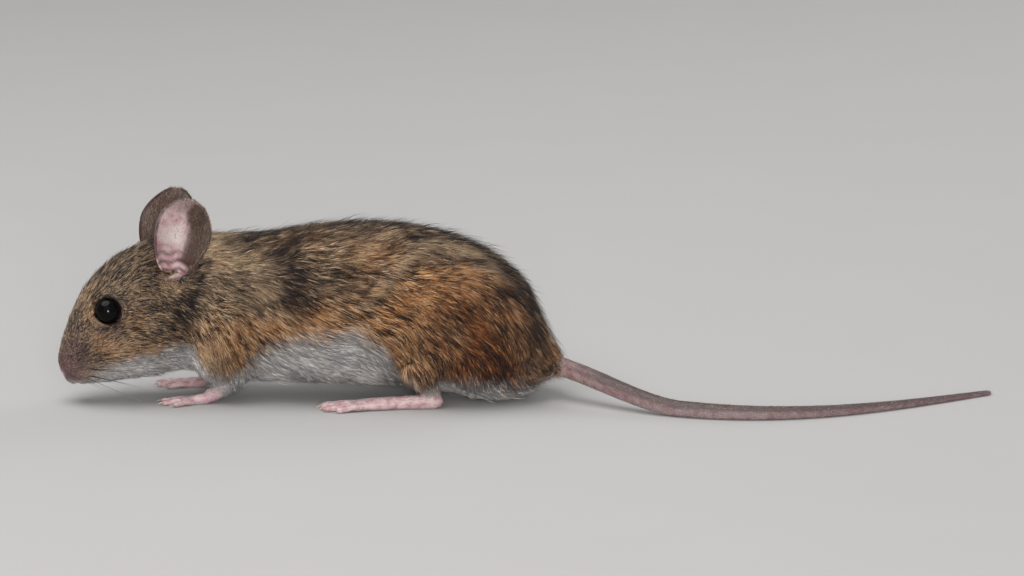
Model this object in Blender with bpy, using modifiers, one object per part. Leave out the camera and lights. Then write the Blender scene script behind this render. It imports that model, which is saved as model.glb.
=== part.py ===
"""Field mouse (wood mouse), life size: a still model of an adult nosing along the ground.

Frame: metres, +Z up, the ground at z = 0, the head towards -X and the tail towards +X,
the origin at the middle of the model's box on the ground. The sizes below are millimetres.

The body is a loft through named cross-sections of the coat's outer surface, blended with its
haunches, shoulders and cheeks, then parted by thin cuts into the pieces that a person names.
Ears, eyes, lower legs, paws and the lengths of the tail are pieces of their own.
"""

import math
from dataclasses import dataclass

import bmesh
import bpy
from mathutils import Matrix, Vector

MM = 0.001

# Driving dimensions, in millimetres.
GAP = 0.3  # clear space between pieces that meet
HEAD_TURN = math.radians(11)  # the head looks this far to the mouse's left
HEAD_ROLL = math.radians(4)  # and tips its left side up
TURN_PIVOT = Vector((-60.0, 0.0, 18.0))  # the head turns about the vertical through this point
TURN_STARTS = -56.0  # x where the neck begins to turn
TURN_ENDS = -72.0  # x from which the head is fully turned

EYE_CENTRE = Vector((-81.5, -4.7, 18.2))  # the left eye, before the head is turned
EYE_RADIUS = 2.8
EAR_LENGTH = 16.0
EAR_WALL = 0.6
EAR_ROOT_RADIUS = 2.5  # of the scoop's curve across, at its root
EAR_TIP_RADIUS = 9.2
EAR_ROOT_WRAP = math.radians(128)  # how far round each half of the scoop reaches at its root
EAR_TIP_WRAP = math.radians(40)
EAR_ROUNDS_FROM = 0.6  # the share of its length from which the ear's outline closes
EAR_TIP_CURL = 1.5  # how far the tip leans towards the open side

HIND_FOOT_LENGTH = 23.0
FORE_PAW_LENGTH = 10.0
HIND_STANCE = {"left": Vector((-16.4, -11.6, 0.0)), "right": Vector((-9.6, 11.4, 0.0))}  # heels
FORE_STANCE = {"left": Vector((-60.6, -7.4, 0.0)), "right": Vector((-62.2, 6.8, 0.0))}  # wrists
HIND_TOE_OUT = math.radians(4)
FORE_TOE_OUT = math.radians(7)

TAIL_START = Vector((4.6, 0.0, 6.4))
TAIL_REACH = 86.4  # from the tail's start to its tip, along x
TAIL_SWING = 21.0  # how far the tail's curve reaches to the mouse's left
TAIL_DOWN_AT = 0.30  # the share of its length at which the tail has come down to the ground
TAIL_SUNK = 0.12  # how much of its underside is flat on the ground
TAIL_ROOT_RADIUS = 1.9
TAIL_TIP_RADIUS = 0.55
TAIL_PIECES = 5

# Resolutions.
RING_SIDES = 24
RINGS_PER_SECTION = 3
BODY_VOXEL = 0.9
PAW_VOXEL = 0.28
BODY_SHARE = 0.066  # of the blended skin's triangles that stay
PAW_SHARE = 0.055
TAIL_SIDES = 10
TAIL_RINGS = 6
LEG_SIDES = 12
EAR_COLUMNS = 9
EAR_ROWS = 8
SPHERE_SIDES = 18
SPHERE_RINGS = 11

COLOURS = {
    "fur_brown": ((0.17, 0.10, 0.06), 0.85),
    "fur_orange": ((0.24, 0.12, 0.05), 0.85),
    "ear_skin": ((0.32, 0.20, 0.16), 0.6),
    "foot_skin": ((0.44, 0.30, 0.27), 0.55),
    "nose_skin": ((0.36, 0.22, 0.21), 0.45),
    "tail_skin": ((0.33, 0.23, 0.21), 0.6),
    "eye_black": ((0.006, 0.006, 0.007), 0.08),
}


@dataclass(frozen=True)
class Section:
    """A cross-section of the coat, in the body's own mid-plane.

    top and bottom are (x, z) where it meets the back and the belly, half_width is half its
    breadth, and sag is how far below the middle it is widest, as a share of its half height.
    """

    name: str
    top: tuple
    bottom: tuple
    half_width: float
    sag: float


BODY_SECTIONS = (
    Section("nose", (-90.5, 5.4), (-89.5, 3.7), 1.3, 0.0),
    Section("upper_lip", (-91.0, 7.4), (-87.4, 3.1), 2.5, 0.1),
    Section("whisker_pad", (-90.8, 10.8), (-84.6, 3.3), 3.7, 0.2),
    Section("muzzle_root", (-89.1, 15.6), (-81.2, 3.6), 4.7, 0.15),
    Section("eyes", (-86.5, 21.2), (-76.6, 4.2), 6.3, 0.1),
    Section("forehead", (-82.2, 26.4), (-72.0, 4.7), 7.6, 0.2),
    Section("crown", (-75.4, 30.6), (-67.0, 5.5), 8.2, 0.2),
    Section("nape", (-66.0, 32.6), (-62.2, 4.8), 8.4, 0.2),
    Section("withers", (-57.5, 32.4), (-56.4, 3.4), 9.4, 0.2),
    Section("shoulders", (-50.3, 32.6), (-50.1, 3.0), 10.6, 0.2),
    Section("chest", (-42.5, 33.7), (-42.5, 2.9), 12.0, 0.2),
    Section("back", (-33.8, 34.5), (-34.2, 2.7), 13.1, 0.2),
    Section("loin", (-24.1, 34.2), (-24.9, 2.2), 13.6, 0.2),
    Section("hips", (-14.4, 32.2), (-15.0, 1.2), 13.9, 0.15),
    Section("rump", (-6.2, 28.2), (-7.4, 0.7), 13.0, 0.1),
    Section("croup", (0.4, 22.0), (-1.4, 0.8), 10.4, 0.1),
    Section("tail_set", (4.6, 13.4), (3.6, 2.6), 6.0, 0.0),
    Section("tail_root", (7.2, 8.4), (6.2, 4.6), 2.3, 0.0),
)


@dataclass(frozen=True)
class Mass:
    """An ellipsoid that swells the body: its centre, its half axes, and its pitch in degrees.

    Its y is on the left side, and the right one mirrors it.
    """

    centre: tuple
    radii: tuple
    pitch: float = 0.0


CHEEK = Mass((-76.4, -4.4, 11.4), (7.4, 4.0, 5.6), 25)
LIP_PAD = Mass((-86.8, -2.1, 6.9), (3.4, 2.1, 3.6), 35)
HAUNCH = Mass((-14.0, -7.6, 15.4), (16.4, 7.6, 13.4), 6)
UPPER_ARM = Mass((-58.0, -6.6, 12.6), (7.4, 5.2, 10.2), 14)
SEAT = Mass((-6.4, -5.2, 5.5), (10.4, 5.8, 5.2))  # the pale fur that hangs to the ground behind


# ---------------------------------------------------------------- helpers


def clear_scene():
    for obj in list(bpy.data.objects):
        bpy.data.objects.remove(obj, do_unlink=True)


def collection_named(name):
    made = bpy.data.collections.new(name)
    bpy.context.scene.collection.children.link(made)
    return made


def principled(name, colour, roughness):
    material = bpy.data.materials.new(name)
    material.use_nodes = True
    shader = material.node_tree.nodes["Principled BSDF"]
    shader.inputs["Base Color"].default_value = (*colour, 1.0)
    shader.inputs["Roughness"].default_value = roughness
    shader.inputs["Metallic"].default_value = 0.0
    return material


def new_object(name, bm, collection):
    """A mesh object from bm, whose units are millimetres."""
    bmesh.ops.recalc_face_normals(bm, faces=bm.faces)
    mesh = bpy.data.meshes.new(name)
    bm.to_mesh(mesh)
    bm.free()
    obj = bpy.data.objects.new(name, mesh)
    collection.objects.link(obj)
    return obj


def bake_modifiers(obj):
    """Gives obj the mesh that its modifiers make, and drops them."""
    bpy.context.view_layer.update()
    graph = bpy.context.evaluated_depsgraph_get()
    mesh = bpy.data.meshes.new_from_object(obj.evaluated_get(graph))
    obj.modifiers.clear()
    old, obj.data = obj.data, mesh
    mesh.name = obj.name
    bpy.data.meshes.remove(old)
    return obj


def copy_of(obj, name):
    twin = bpy.data.objects.new(name, obj.data.copy())
    obj.users_collection[0].objects.link(twin)
    return twin


def discard(*objects):
    for obj in objects:
        bpy.data.objects.remove(obj, do_unlink=True)


def joined(objects, name):
    """One object that holds all of these meshes, still as separate shells."""
    bm = bmesh.new()
    for obj in objects:
        bm.from_mesh(obj.data)
    made = new_object(name, bm, objects[0].users_collection[0])
    discard(*objects)
    return made


def boolean(obj, other, operation, solver="EXACT"):
    """Cuts obj with other; the blended body takes the MANIFOLD solver, as EXACT empties it."""
    modifier = obj.modifiers.new(operation.lower(), "BOOLEAN")
    modifier.operation = operation
    modifier.solver = solver
    modifier.object = other
    bake_modifiers(obj)


def blended(obj, voxel, smooth_steps):
    """Runs obj's overlapping shells into one smooth skin."""
    remesh = obj.modifiers.new("blend", "REMESH")
    remesh.mode = "VOXEL"
    remesh.voxel_size = voxel
    smooth = obj.modifiers.new("soften", "SMOOTH")
    smooth.factor = 0.5
    smooth.iterations = smooth_steps
    return bake_modifiers(obj)


def thinned(obj, share):
    """Fewer triangles on the same form."""
    decimate = obj.modifiers.new("thin", "DECIMATE")
    decimate.ratio = share
    return bake_modifiers(obj)


def facing_out(obj):
    """Turns every face of a closed mesh outwards."""
    bm = bmesh.new()
    bm.from_mesh(obj.data)
    bmesh.ops.recalc_face_normals(bm, faces=bm.faces)
    bm.to_mesh(obj.data)
    bm.free()


def grown(obj, distance, name):
    """A cutter: obj's skin moved outwards by distance."""
    twin = copy_of(obj, name)
    bm = bmesh.new()
    bm.from_mesh(twin.data)
    bmesh.ops.recalc_face_normals(bm, faces=bm.faces)
    bm.normal_update()
    for vert in bm.verts:
        vert.co += vert.normal * distance
    bm.to_mesh(twin.data)
    bm.free()
    return twin


def smoothstep(t):
    t = min(1.0, max(0.0, t))
    return t * t * (3.0 - 2.0 * t)


def curve_through(values, t):
    """Catmull-Rom through equal-length rows of numbers; t counts rows from 0."""
    last = len(values) - 1
    i = min(int(t), last - 1)
    f = t - i
    p0, p1 = values[max(i - 1, 0)], values[i]
    p2, p3 = values[i + 1], values[min(i + 2, last)]
    return [
        0.5 * (2 * b + (c - a) * f + (2 * a - 5 * b + 4 * c - d) * f**2 + (3 * b - a - 3 * c + d) * f**3)
        for a, b, c, d in zip(p0, p1, p2, p3)
    ]


def head_turned(point):
    """The point after the neck and head have turned to the mouse's left and rolled a little."""
    share = smoothstep((TURN_STARTS - point.x) / (TURN_STARTS - TURN_ENDS))
    turn = Matrix.Rotation(HEAD_TURN * share, 3, "Z") @ Matrix.Rotation(-HEAD_ROLL * share, 3, "X")
    return TURN_PIVOT + turn @ (point - TURN_PIVOT)


def turn_head(obj):
    for vert in obj.data.vertices:
        vert.co = head_turned(vert.co)


def mirrored(obj, name):
    """The same piece on the other side of the mid-plane."""
    twin = copy_of(obj, name)
    bm = bmesh.new()
    bm.from_mesh(twin.data)
    for vert in bm.verts:
        vert.co.y = -vert.co.y
    bmesh.ops.reverse_faces(bm, faces=bm.faces)
    bm.to_mesh(twin.data)
    bm.free()
    return twin


def lofted(name, rings, collection):
    """A closed skin over rings of points, all with the same number of points."""
    bm = bmesh.new()
    loops = [[bm.verts.new(point) for point in ring] for ring in rings]
    sides = len(loops[0])
    for near, far in zip(loops, loops[1:]):
        for k in range(sides):
            bm.faces.new((near[k], near[(k + 1) % sides], far[(k + 1) % sides], far[k]))
    bm.faces.new(loops[0])
    bm.faces.new(loops[-1])
    return new_object(name, bm, collection)


def tube(name, path, sides, collection):
    """A round limb along path, whose entries are (point, radius across, radius upwards)."""
    rings = []
    for i, (point, across, upwards) in enumerate(path):
        ahead = path[min(i + 1, len(path) - 1)][0] - path[max(i - 1, 0)][0]
        side = ahead.cross(Vector((0, 0, 1)))
        side = side.normalized() if side.length > 1e-6 else Vector((0, 1, 0))
        up = side.cross(ahead).normalized()
        angles = (2 * math.pi * (k + 0.5) / sides for k in range(sides))
        rings.append([point + side * across * math.cos(a) + up * upwards * math.sin(a) for a in angles])
    return lofted(name, rings, collection)


def ellipsoid(name, mass, collection, extra=0.0):
    """The Mass as a mesh, extra wider all round."""
    bpy.ops.mesh.primitive_uv_sphere_add(segments=SPHERE_SIDES, ring_count=SPHERE_RINGS, radius=1.0)
    obj = bpy.context.active_object
    obj.name = name
    for user in list(obj.users_collection):
        user.objects.unlink(obj)
    collection.objects.link(obj)
    sized = Matrix.Diagonal([r + extra for r in mass.radii]).to_4x4()
    pitched = Matrix.Rotation(math.radians(mass.pitch), 4, "Y")
    obj.data.transform(Matrix.Translation(mass.centre) @ pitched @ sized)
    return obj


def half_space(name, point, normal, collection):
    """A large block that fills the side of the plane that normal points to."""
    size = 400.0
    bpy.ops.mesh.primitive_cube_add(size=size)
    obj = bpy.context.active_object
    obj.name = name
    for user in list(obj.users_collection):
        user.objects.unlink(obj)
    collection.objects.link(obj)
    normal = Vector(normal).normalized()
    turn = normal.to_track_quat("Z", "Y").to_matrix().to_4x4()
    obj.data.transform(Matrix.Translation(Vector(point) + normal * size / 2) @ turn)
    return obj


def parted(obj, point, normal, name):
    """Cuts obj at a plane with a gap; returns what lies on the normal's side as a new object."""
    normal = Vector(normal).normalized()
    point = Vector(point)
    cutters = obj.users_collection[0]
    beyond = copy_of(obj, name)
    block = half_space("beyond", point + normal * GAP / 2, normal, cutters)
    boolean(beyond, block, "INTERSECT", "MANIFOLD")
    discard(block)
    block = half_space("kept", point - normal * GAP / 2, normal, cutters)
    boolean(obj, block, "DIFFERENCE", "MANIFOLD")
    discard(block)
    return beyond


# ---------------------------------------------------------------- body


def section_ring(values):
    """The points of one cross-section from [top x, top z, bottom x, bottom z, half width, sag]."""
    top = Vector((values[0], 0.0, values[1]))
    bottom = Vector((values[2], 0.0, values[3]))
    middle, half = (top + bottom) / 2, (top - bottom) / 2
    ring = []
    for k in range(RING_SIDES):
        angle = 2 * math.pi * k / RING_SIDES
        height = math.sin(angle)
        lowered = height - values[5] * (1.0 - height * height)
        ring.append(middle + half * lowered + Vector((0.0, values[4] * math.cos(angle), 0.0)))
    return ring


def body_core(collection):
    """Head, neck and trunk as one blended solid, with haunches, shoulders and cheeks."""
    rows = [[*s.top, *s.bottom, s.half_width, s.sag] for s in BODY_SECTIONS]
    steps = (len(rows) - 1) * RINGS_PER_SECTION
    rings = [section_ring(curve_through(rows, k / RINGS_PER_SECTION)) for k in range(steps + 1)]
    shells = [lofted("torso", rings, collection)]
    for mass in (CHEEK, LIP_PAD, HAUNCH, UPPER_ARM, SEAT):
        left = ellipsoid("swelling", mass, collection)
        shells += [left, mirrored(left, "swelling_right")]
    core = joined(shells, "core")
    blended(core, BODY_VOXEL, 8)
    thinned(core, BODY_SHARE)
    turn_head(core)
    return core


# ---------------------------------------------------------------- head pieces


def eye(name, side, extra, collection):
    """The eyeball on one side (-1 left, 1 right), extra larger for its socket."""
    centre = head_turned(Vector((EYE_CENTRE.x, EYE_CENTRE.y * -side, EYE_CENTRE.z)))
    ball = Mass(tuple(centre), (EYE_RADIUS,) * 3)
    return ellipsoid(name, ball, collection, extra)


def ear_point(across, along):
    """A point of an ear's middle sheet: across from -1 to 1, edge to edge, and along from root to tip."""
    radius = EAR_ROOT_RADIUS + (EAR_TIP_RADIUS - EAR_ROOT_RADIUS) * along**0.8
    wrap = EAR_ROOT_WRAP * (1 - along) + EAR_TIP_WRAP * along
    beyond = max(0.0, along - EAR_ROUNDS_FROM) / (1 - EAR_ROUNDS_FROM)
    angle = wrap * math.sqrt(max(0.0, 1.0 - beyond**2)) * across
    sideways = radius * math.sin(angle)
    forwards = radius * (1.0 - math.cos(angle)) + EAR_TIP_CURL * beyond**2
    return Vector((sideways, forwards, EAR_LENGTH * along))


@dataclass(frozen=True)
class EarPose:
    """How an ear sits on the unturned head: its root, the way it stands and the way it opens."""

    root: tuple
    up: tuple
    opens: tuple


LEFT_EAR = EarPose((-67.0, -5.2, 25.0), (0.31, -0.28, 0.91), (-0.62, -0.78, 0.0))
RIGHT_EAR = EarPose((-66.2, 5.2, 24.4), (0.06, 0.28, 0.95), (-0.75, 0.66, 0.0))


def ear(name, pose, collection):
    """An ear: a scoop that opens forwards and outwards and narrows to a tube at its root."""
    bpy.ops.mesh.primitive_grid_add(x_subdivisions=EAR_COLUMNS, y_subdivisions=EAR_ROWS, size=2.0)
    sheet = bpy.context.active_object
    sheet.name = name
    for user in list(sheet.users_collection):
        user.objects.unlink(sheet)
    collection.objects.link(sheet)
    up = Vector(pose.up).normalized()
    opens = Vector(pose.opens)
    opens = (opens - up * opens.dot(up)).normalized()
    across = opens.cross(up).normalized()
    for vert in sheet.data.vertices:
        from_tip = (1.0 - vert.co.y) / 2
        local = ear_point(vert.co.x, 0.994 * (1.0 - from_tip**1.6))
        vert.co = Vector(pose.root) + across * local.x + opens * local.y + up * local.z
    wall = sheet.modifiers.new("wall", "SOLIDIFY")
    wall.thickness = EAR_WALL
    wall.offset = 0.0
    bake_modifiers(sheet)
    facing_out(sheet)
    return sheet


# ---------------------------------------------------------------- limbs


@dataclass(frozen=True)
class Toe:
    """A toe: where it leaves the foot as shares of its length and half width, its angle and length."""

    along: float
    across: float
    spread: float
    length: float
    radius: float


HIND_TOES = (
    Toe(0.66, -0.86, -14, 5.6, 0.62),
    Toe(0.71, -0.50, -6, 6.9, 0.66),
    Toe(0.72, 0.00, 0, 7.2, 0.68),
    Toe(0.71, 0.50, 6, 6.8, 0.66),
    Toe(0.58, 0.90, 17, 4.6, 0.60),
)
FORE_TOES = (
    Toe(0.42, -0.80, -24, 4.0, 0.52),
    Toe(0.54, -0.30, -8, 4.7, 0.56),
    Toe(0.54, 0.30, 8, 4.7, 0.56),
    Toe(0.42, 0.80, 24, 4.0, 0.52),
)


@dataclass(frozen=True)
class Paw:
    """A foot along -X from its heel at the origin: length to the longest toe's tip, and its sole."""

    length: float
    heel_half: float
    ball_half: float
    ball_at: float
    instep: float
    toes: tuple


HIND_PAW = Paw(HIND_FOOT_LENGTH, 1.5, 2.3, 0.66, 2.9, HIND_TOES)
FORE_PAW = Paw(FORE_PAW_LENGTH, 1.25, 1.9, 0.46, 2.1, FORE_TOES)


def toe_shell(paw, toe, collection):
    """A toe that arches over its middle joint, has a round pad and ends in a thin claw."""
    root = Vector((-paw.length * toe.along, paw.ball_half * toe.across, paw.instep * 0.38))
    heading = Matrix.Rotation(math.radians(-toe.spread), 3, "Z") @ Vector((-1, 0, 0))
    r = toe.radius
    profile = (
        (-0.25, 0.50, 1.00),
        (0.15, 0.62, 1.05),
        (0.38, 0.60, 0.98),
        (0.58, 0.34, 1.06),
        (0.72, 0.22, 1.02),
        (0.82, 0.20, 0.62),
        (0.91, 0.16, 0.48),
        (1.00, 0.00, 0.38),
    )
    path = []
    for along, lift, width in profile:
        point = root + heading * toe.length * along
        point.z = r * 0.80 + lift * r
        path.append((point, r * width, r * width * 1.05))
    return tube("toe", path, 8, collection)


def paw_solid(name, paw, ankle, collection):
    """The foot with its toes, flat where it stands; ankle is the leg's path that it takes in."""
    sole = []
    for share, half, height in (
        (-0.03, 0.55, 0.62),
        (0.02, 0.92, 0.98),
        (0.12, 1.00, 1.00),
        (0.30, 0.94, 0.88),
    ):
        half_width = paw.heel_half * half
        top = paw.instep * height
        sole.append((Vector((-paw.length * share, 0, top / 2 - 0.1)), half_width, top / 2))
    for share, half, height in ((0.50, 0.90, 0.80), (0.66, 1.0, 0.68), (0.80, 0.62, 0.50)):
        at = paw.ball_at * share / 0.66
        top = paw.instep * height
        sole.append((Vector((-paw.length * at, 0, top / 2 - 0.1)), paw.ball_half * half, top / 2))
    sole.sort(key=lambda entry: -entry[0].x)
    shells = [tube("sole", sole, 14, collection), tube("ankle", ankle, 12, collection)]
    shells += [toe_shell(paw, toe, collection) for toe in paw.toes]
    foot = joined(shells, name)
    blended(foot, PAW_VOXEL, 2)
    thinned(foot, PAW_SHARE)
    floor = half_space("floor", (0, 0, 0), (0, 0, -1), collection)
    boolean(foot, floor, "DIFFERENCE")
    discard(floor)
    return foot


def placed(obj, heel, toe_out, side):
    """Moves a foot that was made at the origin to its heel, turned outwards (side -1 left, 1 right)."""
    obj.data.transform(Matrix.Translation(heel) @ Matrix.Rotation(-toe_out * side, 4, "Z"))
    return obj


# ---------------------------------------------------------------- tail


def tail_line(t):
    """The middle of the tail from its root, t = 0, to its tip, t = 1: it drops to the ground behind
    the rump, swings to the mouse's left and comes back."""
    drop = smoothstep(t / TAIL_DOWN_AT)
    x = TAIL_START.x + TAIL_REACH * t
    y = TAIL_START.y - TAIL_SWING * math.sin(math.pi * max(0.0, t) ** 0.88)
    z = TAIL_START.z * (1.0 - drop) + (tail_radius(t) - TAIL_SUNK) * drop
    return Vector((x, y, z))


def tail_radius(t):
    """Full in its first half, then tapering to a blunt tip."""
    full = TAIL_ROOT_RADIUS * (1.0 - 0.16 * min(1.0, t / 0.3))
    taper = max(0.0, (t - 0.30) / 0.70)
    return full - (TAIL_ROOT_RADIUS * 0.84 - TAIL_TIP_RADIUS) * taper**1.15


def tail_piece(name, start, end, collection):
    steps = [start + (end - start) * k / TAIL_RINGS for k in range(TAIL_RINGS + 1)]
    path = [(tail_line(t), tail_radius(t), tail_radius(t)) for t in steps]
    piece = tube(name, path, TAIL_SIDES, collection)
    floor = half_space("floor", (0, 0, 0), (0, 0, -1), collection)
    boolean(piece, floor, "DIFFERENCE")
    discard(floor)
    return piece


def tail(body_cutter, collection):
    """The tail in lengths that meet across thin gaps."""
    span = 1.0 / TAIL_PIECES
    half_gap = GAP / 2 / TAIL_REACH
    inside_rump = 0.02  # the first length starts this share of the tail inside the body, and is cut
    pieces = []
    for k in range(TAIL_PIECES):
        start = k * span + half_gap if k else -inside_rump
        end = (k + 1) * span - half_gap if k < TAIL_PIECES - 1 else 1.0
        pieces.append(tail_piece(f"tail_{k + 1}", start, end, collection))
    boolean(pieces[0], body_cutter, "DIFFERENCE", "MANIFOLD")
    return pieces


# ---------------------------------------------------------------- assembly


# Rows along a leg from its foot upwards: how far back, how far towards the mid-plane and how high
# each lies from the heel or wrist, then its half width and half depth.
HIND_ANKLE = (
    (-1.0, 0.0, 0.9, 1.35, 1.6),
    (-1.4, 0.0, 2.6, 1.5, 1.9),
    (-2.1, 0.0, 4.4, 1.7, 2.2),
    (-3.4, 0.0, 6.8, 2.3, 2.9),
)
SHANK = (
    (-1.4, 0.0, 2.4, 1.5, 1.9),
    (-2.1, 0.0, 4.4, 1.7, 2.2),
    (-3.6, 1.0, 7.0, 2.5, 3.0),
    (-6.0, 2.0, 11.0, 3.2, 3.8),
)
WRIST = (
    (-1.6, 0.0, 1.0, 1.3, 1.0),
    (-0.2, 0.0, 1.5, 1.45, 1.4),
    (1.6, 0.0, 2.6, 1.7, 1.8),
    (3.2, 0.0, 3.9, 2.0, 2.2),
)
FOREARM = (
    (-0.2, 0.0, 1.5, 1.45, 1.4),
    (1.6, 0.0, 2.6, 1.7, 1.8),
    (4.2, 0.0, 4.8, 2.4, 2.6),
    (6.2, 0.5, 8.0, 3.2, 3.2),
    (6.0, 1.0, 12.0, 3.4, 3.4),
)
ANKLE_TOP = 4.4  # where foot and shank part
WRIST_CUT_AT = Vector((0.9, 0.0, 2.1))  # where paw and forearm part, and which way that cut faces
WRIST_CUT_NORMAL = Vector((0.8, 0.0, 0.6))


def limb_path(rows, foot=Vector(), turn=Matrix.Identity(3), side=0):
    """The rows of a leg as a tube's path, turned and carried to its foot."""
    path = []
    for back, inwards, height, half_width, half_depth in rows:
        point = foot + turn @ Vector((back, 0, height)) + Vector((0, -side * inwards, 0))
        path.append((point, half_width, half_depth))
    return path


def hind_leg(side_name, side, body_cutter, collection):
    """Shank stub and foot on one side."""
    heel = HIND_STANCE[side_name]
    foot = paw_solid(f"hind_foot_{side_name}", HIND_PAW, limb_path(HIND_ANKLE), collection)
    placed(foot, heel, HIND_TOE_OUT, side)
    top = half_space("ankle", heel + Vector((0, 0, ANKLE_TOP - GAP / 2)), (0, 0, 1), collection)
    boolean(foot, top, "DIFFERENCE")
    discard(top)
    boolean(foot, body_cutter, "DIFFERENCE", "MANIFOLD")
    turn = Matrix.Rotation(-HIND_TOE_OUT * side, 3, "Z")
    shank = tube(f"shank_{side_name}", limb_path(SHANK, heel, turn, side), LEG_SIDES, collection)
    below = half_space("ankle", heel + Vector((0, 0, ANKLE_TOP + GAP / 2)), (0, 0, -1), collection)
    boolean(shank, below, "DIFFERENCE")
    discard(below)
    boolean(shank, body_cutter, "DIFFERENCE", "MANIFOLD")
    return [foot, shank]


def fore_leg(side_name, side, body_cutter, collection):
    """Forearm and paw on one side."""
    wrist = FORE_STANCE[side_name]
    paw = paw_solid(f"fore_paw_{side_name}", FORE_PAW, limb_path(WRIST), collection)
    placed(paw, wrist, FORE_TOE_OUT, side)
    turn = Matrix.Rotation(-FORE_TOE_OUT * side, 3, "Z")
    cut_at = wrist + turn @ WRIST_CUT_AT
    cut_normal = turn @ WRIST_CUT_NORMAL
    beyond = half_space("wrist", cut_at - cut_normal * GAP / 2, cut_normal, collection)
    boolean(paw, beyond, "DIFFERENCE")
    discard(beyond)
    boolean(paw, body_cutter, "DIFFERENCE", "MANIFOLD")
    forearm = tube(f"forearm_{side_name}", limb_path(FOREARM, wrist, turn, side), LEG_SIDES, collection)
    below = half_space("wrist", cut_at + cut_normal * GAP / 2, -cut_normal, collection)
    boolean(forearm, below, "DIFFERENCE")
    discard(below)
    boolean(forearm, body_cutter, "DIFFERENCE", "MANIFOLD")
    return [paw, forearm]


def ellipsoid_piece(core, mass, side, name, collection):
    """Takes the flesh inside a Mass out of core as a piece of its own, with a gap round it."""
    flipped = Mass((mass.centre[0], -side * mass.centre[1], mass.centre[2]), mass.radii, mass.pitch)
    piece = copy_of(core, name)
    inside = ellipsoid("inside", flipped, collection)
    boolean(piece, inside, "INTERSECT", "MANIFOLD")
    discard(inside)
    outside = ellipsoid("outside", flipped, collection, GAP)
    boolean(core, outside, "DIFFERENCE", "MANIFOLD")
    discard(outside)
    return piece


THIGH_CUT = Mass((-13.0, -17.0, 14.4), (14.6, 13.6, 12.4), 0)
ARM_CUT = Mass((-58.0, -14.0, 11.6), (6.6, 9.6, 9.4), 14)


def box_centre(objects):
    """The middle of the box round all of the objects."""
    corners = [vert.co for obj in objects for vert in obj.data.vertices]
    low = Vector(min(corner[axis] for corner in corners) for axis in range(3))
    high = Vector(max(corner[axis] for corner in corners) for axis in range(3))
    return (low + high) / 2


def build():
    clear_scene()
    mouse = collection_named("field_mouse")
    core = body_core(mouse)
    cutter = grown(core, GAP, "body_cutter")

    pieces = {}
    for name, side in (("left", -1), ("right", 1)):
        for piece in hind_leg(name, side, cutter, mouse) + fore_leg(name, side, cutter, mouse):
            pieces[piece.name] = piece
    for piece in tail(cutter, mouse):
        pieces[piece.name] = piece

    for pinna in (ear("ear_left", LEFT_EAR, mouse), ear("ear_right", RIGHT_EAR, mouse)):
        turn_head(pinna)
        boolean(pinna, cutter, "DIFFERENCE", "MANIFOLD")
        pieces[pinna.name] = pinna
    for name, side in (("left", -1), ("right", 1)):
        pieces[f"eye_{name}"] = eye(f"eye_{name}", side, 0.0, mouse)
        socket = eye("socket", side, GAP, mouse)
        boolean(core, socket, "DIFFERENCE", "MANIFOLD")
        discard(socket)
    discard(cutter)

    for name, side in (("left", -1), ("right", 1)):
        pieces[f"thigh_{name}"] = ellipsoid_piece(core, THIGH_CUT, side, f"thigh_{name}", mouse)
        pieces[f"upper_arm_{name}"] = ellipsoid_piece(core, ARM_CUT, side, f"upper_arm_{name}", mouse)
    core.name = "trunk"
    pieces["trunk"] = core
    pieces["neck"] = parted(core, (-55.0, 0.0, 18.0), (-1.0, 0.0, 0.12), "neck")
    pieces["head"] = parted(pieces["neck"], (-66.6, 0.0, 18.0), (-1.0, -0.16, 0.14), "head")
    nose_plane = head_turned(Vector((-89.3, 0.0, 4.9)))
    pieces["nose"] = parted(pieces["head"], nose_plane, (-0.8, -0.2, -0.62), "nose")

    centre = box_centre(pieces.values())
    finishes = {name: principled(name, *look) for name, look in COLOURS.items()}
    for name, piece in pieces.items():
        piece.name = name
        piece.data.name = name
        piece.data.transform(Matrix.Scale(MM, 4) @ Matrix.Translation((-centre.x, -centre.y, 0.0)))
        piece.data.materials.clear()
        piece.data.materials.append(finishes[finish_of(name)])
        piece.data.shade_smooth()
        piece.data.set_sharp_from_angle(angle=math.radians(40))


def finish_of(name):
    """The material that a piece wears."""
    for start, finish in (
        ("eye", "eye_black"),
        ("ear", "ear_skin"),
        ("nose", "nose_skin"),
        ("tail", "tail_skin"),
        ("hind_foot", "foot_skin"),
        ("fore_paw", "foot_skin"),
        ("forearm", "foot_skin"),
        ("thigh", "fur_orange"),
        ("shank", "fur_orange"),
        ("upper_arm", "fur_orange"),
    ):
        if name.startswith(start):
            return finish
    return "fur_brown"


build()
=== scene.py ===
"""Dresses the still field mouse: one skin, eyes, claws, whiskers and a coat of tufts."""

import logging
import math
from contextlib import contextmanager
from dataclasses import dataclass, fields
from enum import Enum
from typing import Callable, Iterator, Sequence

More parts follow.
